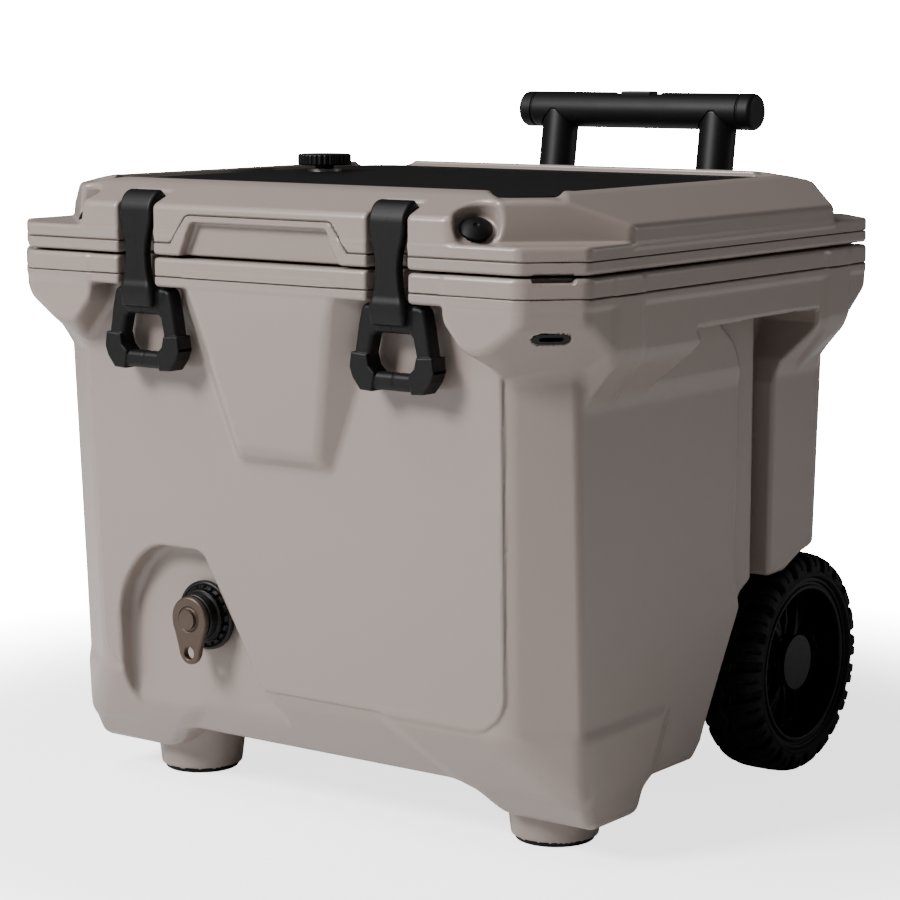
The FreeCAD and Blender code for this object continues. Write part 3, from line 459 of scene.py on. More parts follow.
def body_field(P, top=466.6, bottom=None):
    X, Y, Z = P
    ax = np.abs(X)
    A = (ax, Y, Z)
    # the front panel stands a little proud of the corner faces
    low = [MAIN[0], MAIN[1], plane((0, -1, -0.0407), (0, -229.6, 400))] + MAIN[3:]
    d = hull((X, Y, Z), low, 5)
    w = F(222.2) - F(0.0163) * (F(380) - Z)
    pan2 = inter(30, ax - w, F(112) - Z)
    pan = inter(2.6, pan2, -(Y + F(0.0407) * (Z - F(400)) + F(232)), Y - F(-190), Z - F(480))
    d = union(1.5, d, pan)
    side = hull(A, SIDE, 5)
    ay = np.abs(Y)
    corner = hull((ax, -ay, Z), CORNER, 5)
    band = hull((ax, -ay, Z), [((1, 0, 0), RIM_X), ((0, -1, 0), RIM_Y), plane((0.689, -0.724, 0), (CH_X, -RIM_Y, 0)),
                               ((0, 0, -1), -458), ((0, 0, 1), SEAM_Z)], 4)
    vpl = hull((X, Y, Z), VPLATE, 3.5)
    foot = hull(A, FOOTBLK, 8)
    disc = inter(3, cyl(A, 2, (FOOT_XB, FOOT_YB, 0), 37.6) - F(0.12) * (Z - F(9)), F(3.2) - Z, Z - F(60))
    pad = hull(P, PAD, 5)
    flange = union(8, side, corner)
    d = union(6, d, flange)
    d = union(3, d, band)
    d = union(2.5, d, vpl)
    d = union(10, d, foot)
    d = union(3, d, disc)
    d = union(4, d, pad)
    # recesses
    d = cut(3.5, d, side_cut(P, ax))
    well = inter(4, F(WELL_X) - ax, poly2(Y, Z, WELL))
    d = cut(5, d, well)
    pk = hull(P, prism_planes([(-155, 227), (-99, 227), (-12, 70), (-30, 20), (-185, 20), (-198, 92), (-198, 174), (-180, 208)],
                              "Y", -300, TAP_WALL_Y), 7)
    d = cut(4, d, pk)
    q = np.abs(ax - F(LATCH_X))
    slot = hull((q, Y, Z), [((1, 0, 0), 20.5), ((0, 1, 0), -241), ((0, 0, -1), -440)], 3)
    d = cut(3, d, slot)
    # keyed oblong for the tie-down insert
    d = np.maximum(d, -stadium((ax, -ay, Z), 9.0, 6.2, -4, 9.0))
    # gap for the key under the seam at the corner chamfers
    cn = F(0.689) * ax + F(0.724) * ay - F(369.6)
    cu = F(0.724) * ax - F(0.689) * ay - F(0.724 * 279.5 - 0.689 * 244.5)
    d = np.maximum(d, -np.maximum(np.maximum(F(-9) - cn, np.abs(cu) - F(16)), F(479.6) - Z))
    # tap and axle holes
    d = np.maximum(d, -np.maximum(cyl(P, 1, (TAP_X, 0, TAP_Z), 13.2), Y + 150))
    d = np.maximum(d, -cyl(P, 0, (0, WHEEL_Y, WHEEL_R), 9.0))
    # parting edges get a tiny round
    if top is not None:
        d = inter(0.8, d, Z - F(top))
    if bottom is not None:
        d = inter(0.8, d, F(bottom) - Z)
    return d


def cav_field(P, grow=0.0):
    X, Y, Z = P
    ax = np.abs(X)
    b = hull((ax, Y, Z), [plane((1, 0, -0.025), (228, 0, SEAM_Z)), plane((0, -1, -0.025), (0, -192, SEAM_Z)),
                          plane((0, 1, -0.025), (0, 186, SEAM_Z)), plane((0.707, -0.707, -0.03), (214, -192, SEAM_Z)),
                          plane((0.707, 0.707, -0.03), (214, 186, SEAM_Z)), plane((0, 0, -1), (0, 0, 118))], 14 + grow, grow)
    ledge = hull((ax, Y, Z), [((-1, 0, 0), -(178 + grow)), ((0, -1, 0), 40 - grow), ((0, 0, 1), 236 - grow)], 10)
    return cut(12, b, ledge)


FOOT_XB, FOOT_YB = 197.0, -116.0


def shell_field(P):
    """Outer shell: the body below the liner's rim, hollow above its inner floor."""
    d = body_field(P, 466.6)
    return np.maximum(d, -cav_field(P, 4.5))


def liner_field(P):
    X, Y, Z = P
    rim = body_field(P, SEAM_Z, 467.2)
    tub = np.maximum(cav_field(P, 4.5), Z - F(SEAM_Z))
    d = np.minimum(rim, tub)
    d = np.maximum(d, -np.maximum(cyl(P, 1, (TAP_X, 0, TAP_Z), 13.2), Y + 150))
    return cut(3, d, cav_field(P))


# ---------------------------------------------------------------- lid
LIDTOP = [
    plane((0, 0, 1), (0, 0, LID_Z1)), plane((0, 0, -1), (0, 0, 500)),
    plane((1, 0, 0), (RIM_X, 0, 0)), plane((-1, 0, 0), (-RIM_X, 0, 0)),
    plane((0, -1, 0), (0, -RIM_Y, 0)), plane((0, 1, 0), (0, RIM_Y, 0)),
    plane3((0, -264, 527), (0, -221, 545), (100, -264, 527), (0, 0, 500)),
    plane3((0, 264, 527), (0, 221, 545), (100, 264, 527), (0, 0, 500)),
    plane3((300, 0, 520), (247, 0, 545), (300, 50, 520), (0, 0, 500)),
    plane3((-300, 0, 520), (-247, 0, 545), (-300, 50, 520), (0, 0, 500)),
]
for sx in (-1, 1):
    for sy in (-1, 1):
        LIDTOP.append(plane((sx * 0.686, sy * 0.727, 0.10), (sx * 195, sy * 264, 508)))
MATP = [(205, -205), (240, -168), (240, 168), (205, 205), (-205, 205), (-240, 168), (-240, -168), (-205, -205)]
PLUG = [(221, -168), (221, 164), (206, 179), (-206, 179), (-221, 164), (-221, -168), (-206, -183), (206, -183)]
BN = np.array((0.44, -0.47, 0.766))
BN /= np.linalg.norm(BN)
BC = np.array((205.0, -242.0, 518.0))


def lid_field(P, hand=True):
    X, Y, Z = P
    ax, ay = np.abs(X), np.abs(Y)
    rim = hull((ax, -ay, Z), [((1, 0, 0), RIM_X), ((0, -1, 0), RIM_Y), plane((0.689, -0.724, 0), (CH_X, -RIM_Y, 0)),
                              ((0, 0, -1), -LID_Z0), ((0, 0, 1), 507)], 3.5)
    top = hull((ax, -ay, Z), [LIDTOP[0], LIDTOP[1], LIDTOP[2], LIDTOP[4], LIDTOP[6], LIDTOP[8],
                              plane((0.686, -0.727, 0.10), (195, -264, 508))], 4)
    d = union(2, rim, top)
    # the lip round the mat sinks a little at the mat's chamfered corners
    mat = hull((ax, -ay, Z), [((1, 0, 0), 241), ((0, -1, 0), 206), plane((0.707, -0.707, 0), (223.2, -187.2, 0)),
                              ((0, 0, -1), -(MAT_Z - 4))], 5)
    d = cut(2.5, d, mat)
    dip = hull((ax, -ay, Z), [plane((-0.707, 0.707, 0), (219, -183, 0)), ((0, 0, -1), -540.5),
                              plane((0.72, 0.69, 0), (226, -161, 0)), plane((-0.69, -0.72, 0), (198, -212, 0))], 6)
    d = cut(5, d, dip)
    # latch slots
    q = np.abs(ax - F(LATCH_X))
    slot = hull((q, Y, Z), [((1, 0, 0), 20), ((0, 1, 0), -238), ((0, 0, -1), -470)], 3)
    d = cut(3, d, slot)
    # hinge notches
    h = np.abs(ax - F(BRK_X))
    d = cut(2.5, d, hull((h, Y, Z), [((1, 0, 0), 19), ((0, -1, 0), -228), ((0, 0, -1), -470)], 3))
    d = cut(2.5, d, hull((h, Y, Z), [((1, 0, 0), 33), ((0, -1, 0), -230), ((0, 0, 1), 506)], 3))
    # hand recess with a chamfered band round its flat face
    if hand:
        def tz(w, hgt, y):
            return [plane((0.9104, 0, 0.4137), (87 + w, 0, 480)), ((0, 0, 1), hgt), ((0, 1, 0), y)]
        band = np.maximum(hull((ax, Y, Z), tz(0, 513.5, -254.5), 2.2), F(-400))
        d = cut(2.2, d, band)
    # bumper sockets
    bx = [ax - F(BC[0]), Y - F(BC[1]), Z - F(BC[2])]
    bn = sum(F(BN[i]) * bx[i] for i in range(3))
    br = np.sqrt(np.maximum(sum(b * b for b in bx) - bn * bn, 0))
    d = cut(5, d, inter(3, br - F(17.5), F(-2.4) - bn))
    d = np.maximum(d, -np.maximum(br - F(11.1), F(-14) - bn))
    # rear relief and vent hole
    d = cut(1.5, d, hull(P, [plane((0, -0.707, 0.707), (0, 254, 485)), ((0, -1, 0), -254)], 0))
    d = np.maximum(d, -np.maximum(cyl(P, 2, (KNOB_X, KNOB_Y, 0), 16.2), F(MAT_Z - 5) - Z))
    # notch for the seam's key in the corner chamfers
    cn = F(0.689) * ax + F(0.724) * ay - F(369.6)
    cu = F(0.724) * ax - F(0.689) * ay - F(0.724 * 279.5 - 0.689 * 244.5)
    d = np.maximum(d, -np.maximum(np.maximum(F(-9) - cn, np.abs(cu) - F(16)), Z - F(486.6)))
    return d


def lug_field(P, g=0.0):
    X, Y, Z = P
    return hull((np.abs(X), Y, Z), [plane((0.811, 0, 0.585), (95 + g, 0, 494)), ((0, 0, 1), 519 + g),
                                    ((0, 1, 0), -247 + g), ((0, 0, -1), -480)], 2.0)


def lidtop_field(P):
    X, Y, Z = P
    d = inter(0.8, lid_field(P), F(495.5) - Z)
    return inter(0.8, d, -lug_field(P, 0.5))


def pan_field(P):
    X, Y, Z = P
    d = lid_field(P)
    low = np.minimum(Z - F(495.0), lug_field(P))
    d = inter(0.8, d, low)
    plug = hull(P, prism_planes(PLUG, "Z", 466, 488), 5)
    d = union(3, d, plug)
    ax = np.abs(X)
    g = np.maximum(hull((ax, Y, Z), [((1, 0, 0), 244.5), ((0, -1, 0), 213.5), ((0, 1, 0), 206.5)], 0),
                   -hull((ax, Y, Z), [((1, 0, 0), 233.5), ((0, -1, 0), 202.5), ((0, 1, 0), 195.5)], 0))
    d = np.maximum(d, -np.maximum(g, Z - F(489)))
    return np.maximum(d, -cyl(P, 2, (KNOB_X, KNOB_Y, 0), 6.3))


# ---------------------------------------------------------------- latches
def latch_field(P):
    """One rubber latch, in the frame of its own centre line."""
    X, Y, Z = P
    ax = np.abs(X)
    roll = np.sqrt((Y - F(LATCH_PIN_Y)) ** 2 + (Z - F(LATCH_PIN_Z)) ** 2) - F(8.6)
    roll = inter(2.5, roll, ax - F(17.5))
    # outline of the strap, seen from the front
    op = poly2(ax, Z, [(-2, 541), (17.5, 541), (17.5, 519), (16.6, 512), (15.0, 506), (13.2, 500), (12.2, 494), (11.7, 487), (11.8, 480),
                       (12.8, 470), (14.5, 462), (17, 455), (17, 440), (-2, 440)])
    # its side section curls over the pin
    arc = [(-249 - 15.5 * math.cos(math.radians(a)), 520.5 + 16.6 * math.sin(math.radians(a))) for a in range(0, 91, 6)]
    sec = poly2(Y, Z, [(-264.5, 440)] + arc + [(-249, 520), (-255.5, 519), (-255.5, 440)])
    strap = inter(2.6, op, sec)
    ring = poly2(ax, Z, [(-2, 456), (27, 456), (31, 453.5), (32.6, 449), (35.0, 438), (39.4, 412), (40.2, 405), (37.5, 398),
                         (30.5, 389), (27.5, 387.2), (-2, 387.2)])
    hole = poly2(ax, Z, [(-3, 433), (16.5, 433), (19.3, 430.5), (23.4, 413), (22.6, 407.5), (17.5, 401.3), (-3, 401.3)])
    grip = inter(4.2, ring, slab(Y, -256.8, -241.3))
    grip = cut(4.5, grip, hole)
    neck = hull((ax, Y, Z), [((1, 0, 0), 15), ((0, -1, 0), 264.3), ((0, 1, 0), -241), ((0, 0, 1), 459), ((0, 0, -1), -441),
                             plane((0, 0.8, 0.6), (0, -251, 456)), plane((0, -0.7, -0.7), (0, -259, 441))], 3)
    grip = union(4, grip, neck)
    # flat bevelled knuckles at the lower corners
    kn = inter(1.5, poly2(ax, Z, [(24.5, 415.5), (40.6, 416.5), (42.2, 404), (39.2, 396), (31.6, 386.4), (19.5, 385.8), (16.8, 401), (22.5, 406.5)]),
               slab(Y, -258.4, -240.6))
    grip = union(0.8, grip, kn)
    d = union(5, strap, roll)
    d = union(5.5, d, grip)
    return np.maximum(d, -(np.sqrt((Y - F(LATCH_PIN_Y)) ** 2 + (Z - F(LATCH_PIN_Z)) ** 2) - F(3.05)))


# ---------------------------------------------------------------- tap
def lever_field(P):
    X, Y, Z = P
    x, z = np.abs(X - F(TAP_X)), Z - F(TAP_Z)
    a = cyl(P, 1, (TAP_X, 0, TAP_Z), 19.5)
    ta = (19.5 - 11.0) / 29.0
    tb = math.sqrt(1 - ta * ta)
    t = inter(0.5, x * F(tb) - z * F(ta) - F(19.5), z + F(5.7), F(-32.2) - z)
    b = cyl(P, 1, (TAP_X, 0, TAP_Z - 29), 11.0)
    o = union(1.0, a, t, b)
    yb = TAP_WALL_Y - 24.3
    d = inter(2.0, o, slab(Y, yb - 6, yb))
    # a shallow ring groove in the face
    ring = np.maximum(np.abs(np.sqrt(x * x + z * z) - F(10.6)) - F(0.7), Y - F(yb - 5.2))
    d = cut(0.4, d, ring)
    d = np.maximum(d, -cyl(P, 1, (TAP_X, 0, TAP_Z), 3.1))
    return cut(1.0, d, cyl(P, 1, (TAP_X, 0, TAP_Z - 30), 5.4))


def tapbody_field(P):
    X, Y, Z = P
    ty = TAP_WALL_Y
    r = np.sqrt((X - F(TAP_X)) ** 2 + (Z - F(TAP_Z)) ** 2)
    ang = np.arctan2(Z - F(TAP_Z), X - F(TAP_X))
    fl = inter(2.2, r - F(30.5), slab(Y, ty - 9, ty - 3))
    fl = cut(0.8, fl, np.maximum(np.abs(r - F(26)) - F(1.0), Y - F(ty - 8)))
    barrel = inter(1.5, r - F(21), slab(Y, ty - 24, ty - 6))
    step = inter(1.2, r - F(23.6), slab(Y, ty - 15, ty - 6))
    pipe = inter(0.8, r - F(13), slab(Y, ty - 6, -168))
    d = union(1.5, fl, step)
    d = union(1.0, d, barrel)
    d = union(0.5, d, pipe)
    # grip flutes round the barrel
    fr = (ang / F(math.pi) * F(9)) % F(1) - F(0.5)
    fl2 = np.sqrt((fr * F(7.3)) ** 2 + (r - F(24.4)) ** 2) - F(1.4)
    d = cut(0.5, d, np.maximum(fl2, slab(Y, ty - 14, ty - 7)))
    d = np.maximum(d, -np.maximum(r - F(9), F(ty + 2) - Y))
    sp = boxf(P, TAP_X - 5, TAP_X + 5, ty - 20, ty - 10, TAP_Z - 26, TAP_Z - 6, 1.5)
    return cut(1.0, d, sp)


# ---------------------------------------------------------------- wheels, about the axle
def rim_field(P):
    X, Y, Z = P          # X outward from the inner side, Y and Z from the axle
    r = np.sqrt(Y * Y + Z * Z)
    ring = inter(1.6, r - F(79.8), F(68.0) - r, slab(X, 210, 264))
    # the ring's outer lip is stepped
    lip = inter(0.8, r - F(76), F(72.6) - r, F(262.4) - X)
    ring = cut(0.8, ring, inter(0.8, r - F(75.4), F(71.8) - r, F(261.8) - X))
    web = inter(3, r - F(70), F(20) - r, slab(X, 219 , 225))
    hub = inter(2.5, r - F(24), slab(X, 212, 251.6))
    d = union(3, ring, web)
    d = union(5, d, hub)
    # six groups of three thin ribs
    a = np.arctan2(Z, Y)
    k = F(math.pi / 3)
    b = a - np.round(a / k) * k
    u, w = r * np.cos(b), r * np.sin(b)
    ribs = hull((u, np.abs(w), X), [((0, 1, 0), 2.6), ((0, 0, 1), 246), ((0, 0, -1), -220), ((-1, 0, 0), -18), ((1, 0, 0), 71),
                                    plane((0.22, 0, 1), (60, 0, 240))], 1.2)
    aw = np.abs(w)
    c, s = math.cos(math.radians(15)), math.sin(math.radians(15))
    uu, ww = (u - F(18)) * F(c) + (aw - F(7.4)) * F(s), -(u - F(18)) * F(s) + (aw - F(7.4)) * F(c)
    rib2 = hull((uu, np.abs(ww), X), [((0, 1, 0), 2.2), ((0, 0, 1), 241), ((0, 0, -1), -220), ((-1, 0, 0), 4), ((1, 0, 0), 56),
                                      plane((0.22, 0, 1), (40, 0, 236))], 1.0)
    # angular feet where the ribs meet the ring
    ft = hull((u, aw, X), [plane((0.75, 0.62, 0), (66, 24, 0)), plane((-0.82, 0.57, 0), (58, 0, 0)), ((1, 0, 0), 71), ((0, 0, 1), 236),
                           ((0, 0, -1), -220), ((0, 1, 0), 25)], 2)
    d = union(1.6, d, ribs)
    d = union(1.6, d, rib2)
    d = union(1.6, d, ft)
    d = np.maximum(d, -(r - F(6.1)))
    return np.maximum(d, -np.maximum(r - F(12.05), F(245) - X))


def tyre(name, sx):
    """Tyre as a height field round the axle, with chunky shoulder lugs."""
    N, n = (1320), 22
    prof = [(207.0, 79.9), (207.0, 84), (207.2, 89.5), (208.2, 93.0), (210.4, 96.2), (213.6, 98.6), (217.5, 99.9),
            (222.5, 100.7), (229, 101.0), (237, 101.0), (245, 101.0), (251.5, 100.7), (256.5, 99.9), (260.4, 98.6), (263.6, 96.2),
            (265.8, 93.0), (266.8, 89.5), (267.0, 84), (267.0, 79.9)]
    # resample the section
    P2 = np.array(prof)
    seg = np.hypot(*np.diff(P2, axis=0).T)
    L = np.concatenate([[0], np.cumsum(seg)])
    M = 96
    t = np.linspace(0, L[-1], M)
    xx, rr = np.interp(t, L, P2[:, 0]), np.interp(t, L, P2[:, 1])
    th = np.arange(N) * 2 * math.pi / N
    T, K = np.meshgrid(th, np.arange(M), indexing="ij")
    x, r = xx[K], rr[K]
    nx = np.gradient(rr, t)
    nr = -np.gradient(xx, t)
    ln = np.hypot(nx, nr)
    nx, nr = (-nx / ln * np.sign(1))[K], (-nr / ln)[K]

    def box(v, w, e):
        return np.clip((w - np.abs(v)) / e + 0.5, 0, 1)
    depth = np.zeros_like(x)
    for side, off in ((0, 0.0), (1, 0.5)):
        s = (267.0 - x) if side else (x - 207.0)
        lean = (0.10 if side else -0.10) * np.clip(s - 6, 0, 18) / 18
        ph = ((T * n / (2 * math.pi) + off + lean) % 1.0) - 0.5
        arc = ph * 2 * math.pi / n * 100.0
        groove = box(arc, 4.2, 1.6) * box(s - 7.0, 15.5, 2.0) * np.clip((r - 84.5) / 1.5, 0, 1)
        depth = np.maximum(depth, 6.4 * groove)
        # a short notch in the middle of every shoulder block
        ph2 = ((T * n / (2 * math.pi) + off + 0.5) % 1.0) - 0.5
        arc2 = ph2 * 2 * math.pi / n * 100.0
        notch = box(arc2, 1.3, 0.8) * box(s - 2.0, 9.0, 1.6) * np.clip((r - 88.5) / 1.2, 0, 1)
        depth = np.maximum(depth, 2.6 * notch)
    # centre blocks: a zigzag groove between the two rows
    zz = 237.0 + 3.2 * (np.abs(((T * n / (2 * math.pi)) % 1.0) * 2 - 1) * 2 - 1)
    depth = np.maximum(depth, 4.6 * box(x - zz, 1.9, 1.4) * (r > 98))
    # a fine line round each sidewall
    depth = np.maximum(depth, 0.7 * box(r - 83.5, 0.6, 0.6) * ((x < 208) | (x > 266)))
    x = x - nx * depth
    r = r - nr * depth
    v = np.stack([sx * x, WHEEL_Y + r * np.sin(T), WHEEL_R + r * np.cos(T)], -1).reshape(-1, 3)
    i = np.arange(N)
    j = (i + 1) % N
    q = []
    for k in range(M - 1):
        q.append(np.stack([i * M + k, i * M + k + 1, j * M + k + 1, j * M + k], 1))
    # inner face closes the section
    q.append(np.stack([i * M + M - 1, i * M, j * M, j * M + M - 1], 1))
    q = np.concatenate(q)
    if sx < 0:
        q = q[:, ::-1]
    o = mesh_obj(name, to_m(v), q)
    return o


# ---------------------------------------------------------------- handle
G0 = on_slide(0, GRIP_S)


def grip_field(P):
    X, Y, Z = P
    gy, gz = F(G0[1]), F(G0[2])
    ax = np.abs(X)
    bar = np.sqrt((Y - gy) ** 2 + (Z - gz) ** 2) - F(17.6)
    bar = inter(5, bar, ax - F(GRIP_HALF - 0.2))
    # rubber sleeve between two shallow end grooves
    gr = np.abs(ax - F(118)) - F(0.8)
    bar = cut(0.8, bar, np.maximum(gr, -(bar + F(1.0))))
    q = (ax - F(POST_X)) ** 2
    s1 = (Y - F(300)) * F(SL[1]) + (Z - F(483)) * F(SL[2])
    o1 = (Y - F(300)) * F(SL[2]) - (Z - F(483)) * F(SL[1])
    hole = np.sqrt(q * F(0.79) + o1 * o1) - F(16.9)
    d = cut(1.0, bar, np.maximum(hole, s1 - F(GRIP_S - 2)))
    pk = boxf(P, -17.6, 17.6, G0[1] - 9.0, G0[1] + 9.0, G0[2] + 1.2, G0[2] + 30, 0.6)
    dish = boxf(P, -27, 27, G0[1] - 30, G0[1] + 30, G0[2] + 16.2, G0[2] + 50, 1.0)
    d = cut(2.0, d, dish)
    return cut(1.0, d, pk)


def yoke_field(P):
    X, Y, Z = P
    ax = np.abs(X)
    s1 = (Y - F(300)) * F(SL[1]) + (Z - F(483)) * F(SL[2])
    o1 = (Y - F(300)) * F(SL[2]) - (Z - F(483)) * F(SL[1])
    rr = np.sqrt((ax - F(POST_X)) ** 2 + o1 * o1)
    rr2 = np.sqrt(((ax - F(POST_X)) * F(0.89)) ** 2 + o1 * o1)
    post = inter(3.0, rr2 - F(16.6), slab(s1, GRIP_S - 69, GRIP_S))
    bar = inter(1.0, np.sqrt((Y - F(G0[1])) ** 2 + (Z - F(G0[2])) ** 2) - F(12.9), ax - F(GRIP_HALF - 4))
    d = union(3, post, bar)
    d = np.maximum(d, -np.maximum(rr - F(11.05), s1 - F(GRIP_S - 12)))
    pk = boxf(P, -17.6, 17.6, G0[1] - 9.0, G0[1] + 9.0, G0[2] + 1.2, G0[2] + 30, 0.6)
    return np.maximum(d, -pk)


def housing_field(P):
    X, Y, Z = P
    ax = np.abs(X)
    H = [plane((1, 0, 0.04), (132, 0, 483)), plane((0, -SL[2], SL[1]), on_slide(0, 0, -21.8)), plane((0, SL[2], -SL[1]), on_slide(0, 0, 22)),
         plane((0, -SL[1], -SL[2]), on_slide(0, -404)), plane((0, SL[1], SL[2]), on_slide(0, 10)),
         plane((0.707, 0.6, -0.1), on_slide(120, 0, 22))]
    d = hull((ax, Y, Z), H, 6)
    s1 = (Y - F(300)) * F(SL[1]) + (Z - F(483)) * F(SL[2])
    o1 = (Y - F(300)) * F(SL[2]) - (Z - F(483)) * F(SL[1])
    # recessed panel and ribs on the back
    pan = hull((ax, o1, s1), [((1, 0, 0), 66), ((0, -1, 0), -19.2), ((0, 0, 1), -24), ((0, 0, -1), 380)], 6)
    d = cut(3, d, pan)
    for k in range(5):
        s = -62 - 70 * k
        rib = hull((ax, o1, s1 - F(s)), [((1, 0, 0), 62), ((0, 1, 0), 21.4), ((0, -1, 0), -16), ((0, 0, 1), 3), ((0, 0, -1), 3)], 1.5)
        d = union(2, d, rib)
    rr = np.sqrt((ax - F(POST_X)) ** 2 + o1 * o1)
    d = np.maximum(d, -(rr - F(16.1)))
    inn = hull((ax, o1, s1), [((1, 0, 0), 62), ((0, 1, 0), 15), ((0, -1, 0), 60), ((0, 0, 1), -4), ((0, 0, -1), 392)], 4)
    d = np.maximum(d, -inn)
    for z in (120, 280, 430):
        s0 = (z - 483.0) / SL[2]
        c = np.sqrt((ax - F(116)) ** 2 + (s1 - F(s0)) ** 2)
        d = cut(1.0, d, np.maximum(c - F(5.4), F(17) - o1))
    return d


# ---------------------------------------------------------------- small pieces
def bracket_field(P):
    X, Y, Z = P
    h = np.abs(np.abs(X) - F(BRK_X))
    r = np.sqrt((Y - F(HINGE_Y)) ** 2 + (Z - F(HINGE_Z)) ** 2)
    ear = inter(2, r - F(12), h - F(18))
    web = hull((h, Y, Z), [((1, 0, 0), 18), ((0, -1, 0), -234), ((0, 1, 0), 258), ((0, 0, -1), -483), ((0, 0, 1), 518)], 2)
    fl = hull((h, Y, Z), [((1, 0, 0), 32), ((0, -1, 0), -236), ((0, 1, 0), 262), ((0, 0, -1), -483), ((0, 0, 1), 488)], 1.6)
    d = union(2, union(3, ear, web), fl)
    d = np.maximum(d, -(r - F(4.05)))
    return np.maximum(d, -(np.sqrt((h - F(26)) ** 2 + (Y - F(250)) ** 2) - F(2.6)))


def pad_field(P):
    X, Y, Z = P
    r = np.sqrt((np.abs(X) - F(FOOT_XB)) ** 2 + (Y - F(FOOT_YB)) ** 2)
    d = inter(1.8, r - F(33.8), slab(Z, 0, 9))
    for k in (14.0, 20.0, 26.0):
        d = cut(0.5, d, np.maximum(np.abs(r - F(k)) - F(1.0), Z - F(1.0)))
    d = np.maximum(d, -np.maximum(r - F(7.4), Z - F(4)))
    return np.maximum(d, -(r - F(3.4)))


def bumper_field(P):
    X, Y, Z = P
    b = [np.abs(X) - F(BC[0]), Y - F(BC[1]), Z - F(BC[2])]
    n = sum(F(BN[i]) * b[i] for i in range(3))
    r = np.sqrt(np.maximum(sum(c * c for c in b) - n * n, 0))
    stem = np.maximum(r - F(10.8), slab(n, -13.6, 0.5))
    R = 24.0
    dome = np.maximum(np.sqrt(r * r + (n + F(R - 4.6)) ** 2) - F(R), -n)
    dome = inter(0.8, dome, r - F(13.4))
    d = np.minimum(stem, dome)
    return cut(0.6, d, np.maximum(r - F(2.0), F(3.4) - n))


def knob_field(P):
    X, Y, Z = P
    x, y = X - F(KNOB_X), Y - F(KNOB_Y)
    r = np.sqrt(x * x + y * y)
    a = np.arctan2(y, x)
    d = inter(1.8, r - F(25.3), slab(Z, 547.0, 557.4))
    k = (a / F(2 * math.pi) * F(30)) % F(1) - F(0.5)
    fl = np.sqrt((k * F(5.3)) ** 2 + (r - F(25.9)) ** 2) - F(1.45)
    d = cut(0.5, d, fl)
    d = cut(1.2, d, np.maximum(r - F(17.5), F(556.2) - Z))
    bar = hull((np.abs(x * F(0.8) + y * F(0.6)), np.abs(-x * F(0.6) + y * F(0.8)), Z), [((1, 0, 0), 15.5), ((0, 1, 0), 2.6), ((0, 0, 1), 557.4), ((0, 0, -1), -550)], 1.2)
    d = union(1.0, d, bar)
    neck = np.maximum(r - F(9), slab(Z, 544, 548))
    d = np.minimum(d, neck)
    return np.maximum(d, -np.maximum(r - F(3.02), Z - F(552)))


def mat_field(P):
    X, Y, Z = P
    ax, ay = np.abs(X), np.abs(Y)
    d = hull((ax, -ay, Z), [((1, 0, 0), 239.6), ((0, -1, 0), 204.7), plane((0.707, -0.707, 0), (222.2, -186.2, 0)),
                            ((0, 0, -1), -537), ((0, 0, 1), 540.4)], 1.4)
    # an inset outline for ribs, computed but not used
    inside = hull((ax, -ay, Z), [((1, 0, 0), 228), ((0, -1, 0), 193), plane((0.707, -0.707, 0), (214, -178, 0))], 8)
    return d


# ---------------------------------------------------------------- materials
def srgb(c):
    return tuple(x / 12.92 if x <= 0.04045 else ((x + 0.055) / 1.055) ** 2.4 for x in c) + (1.0,)


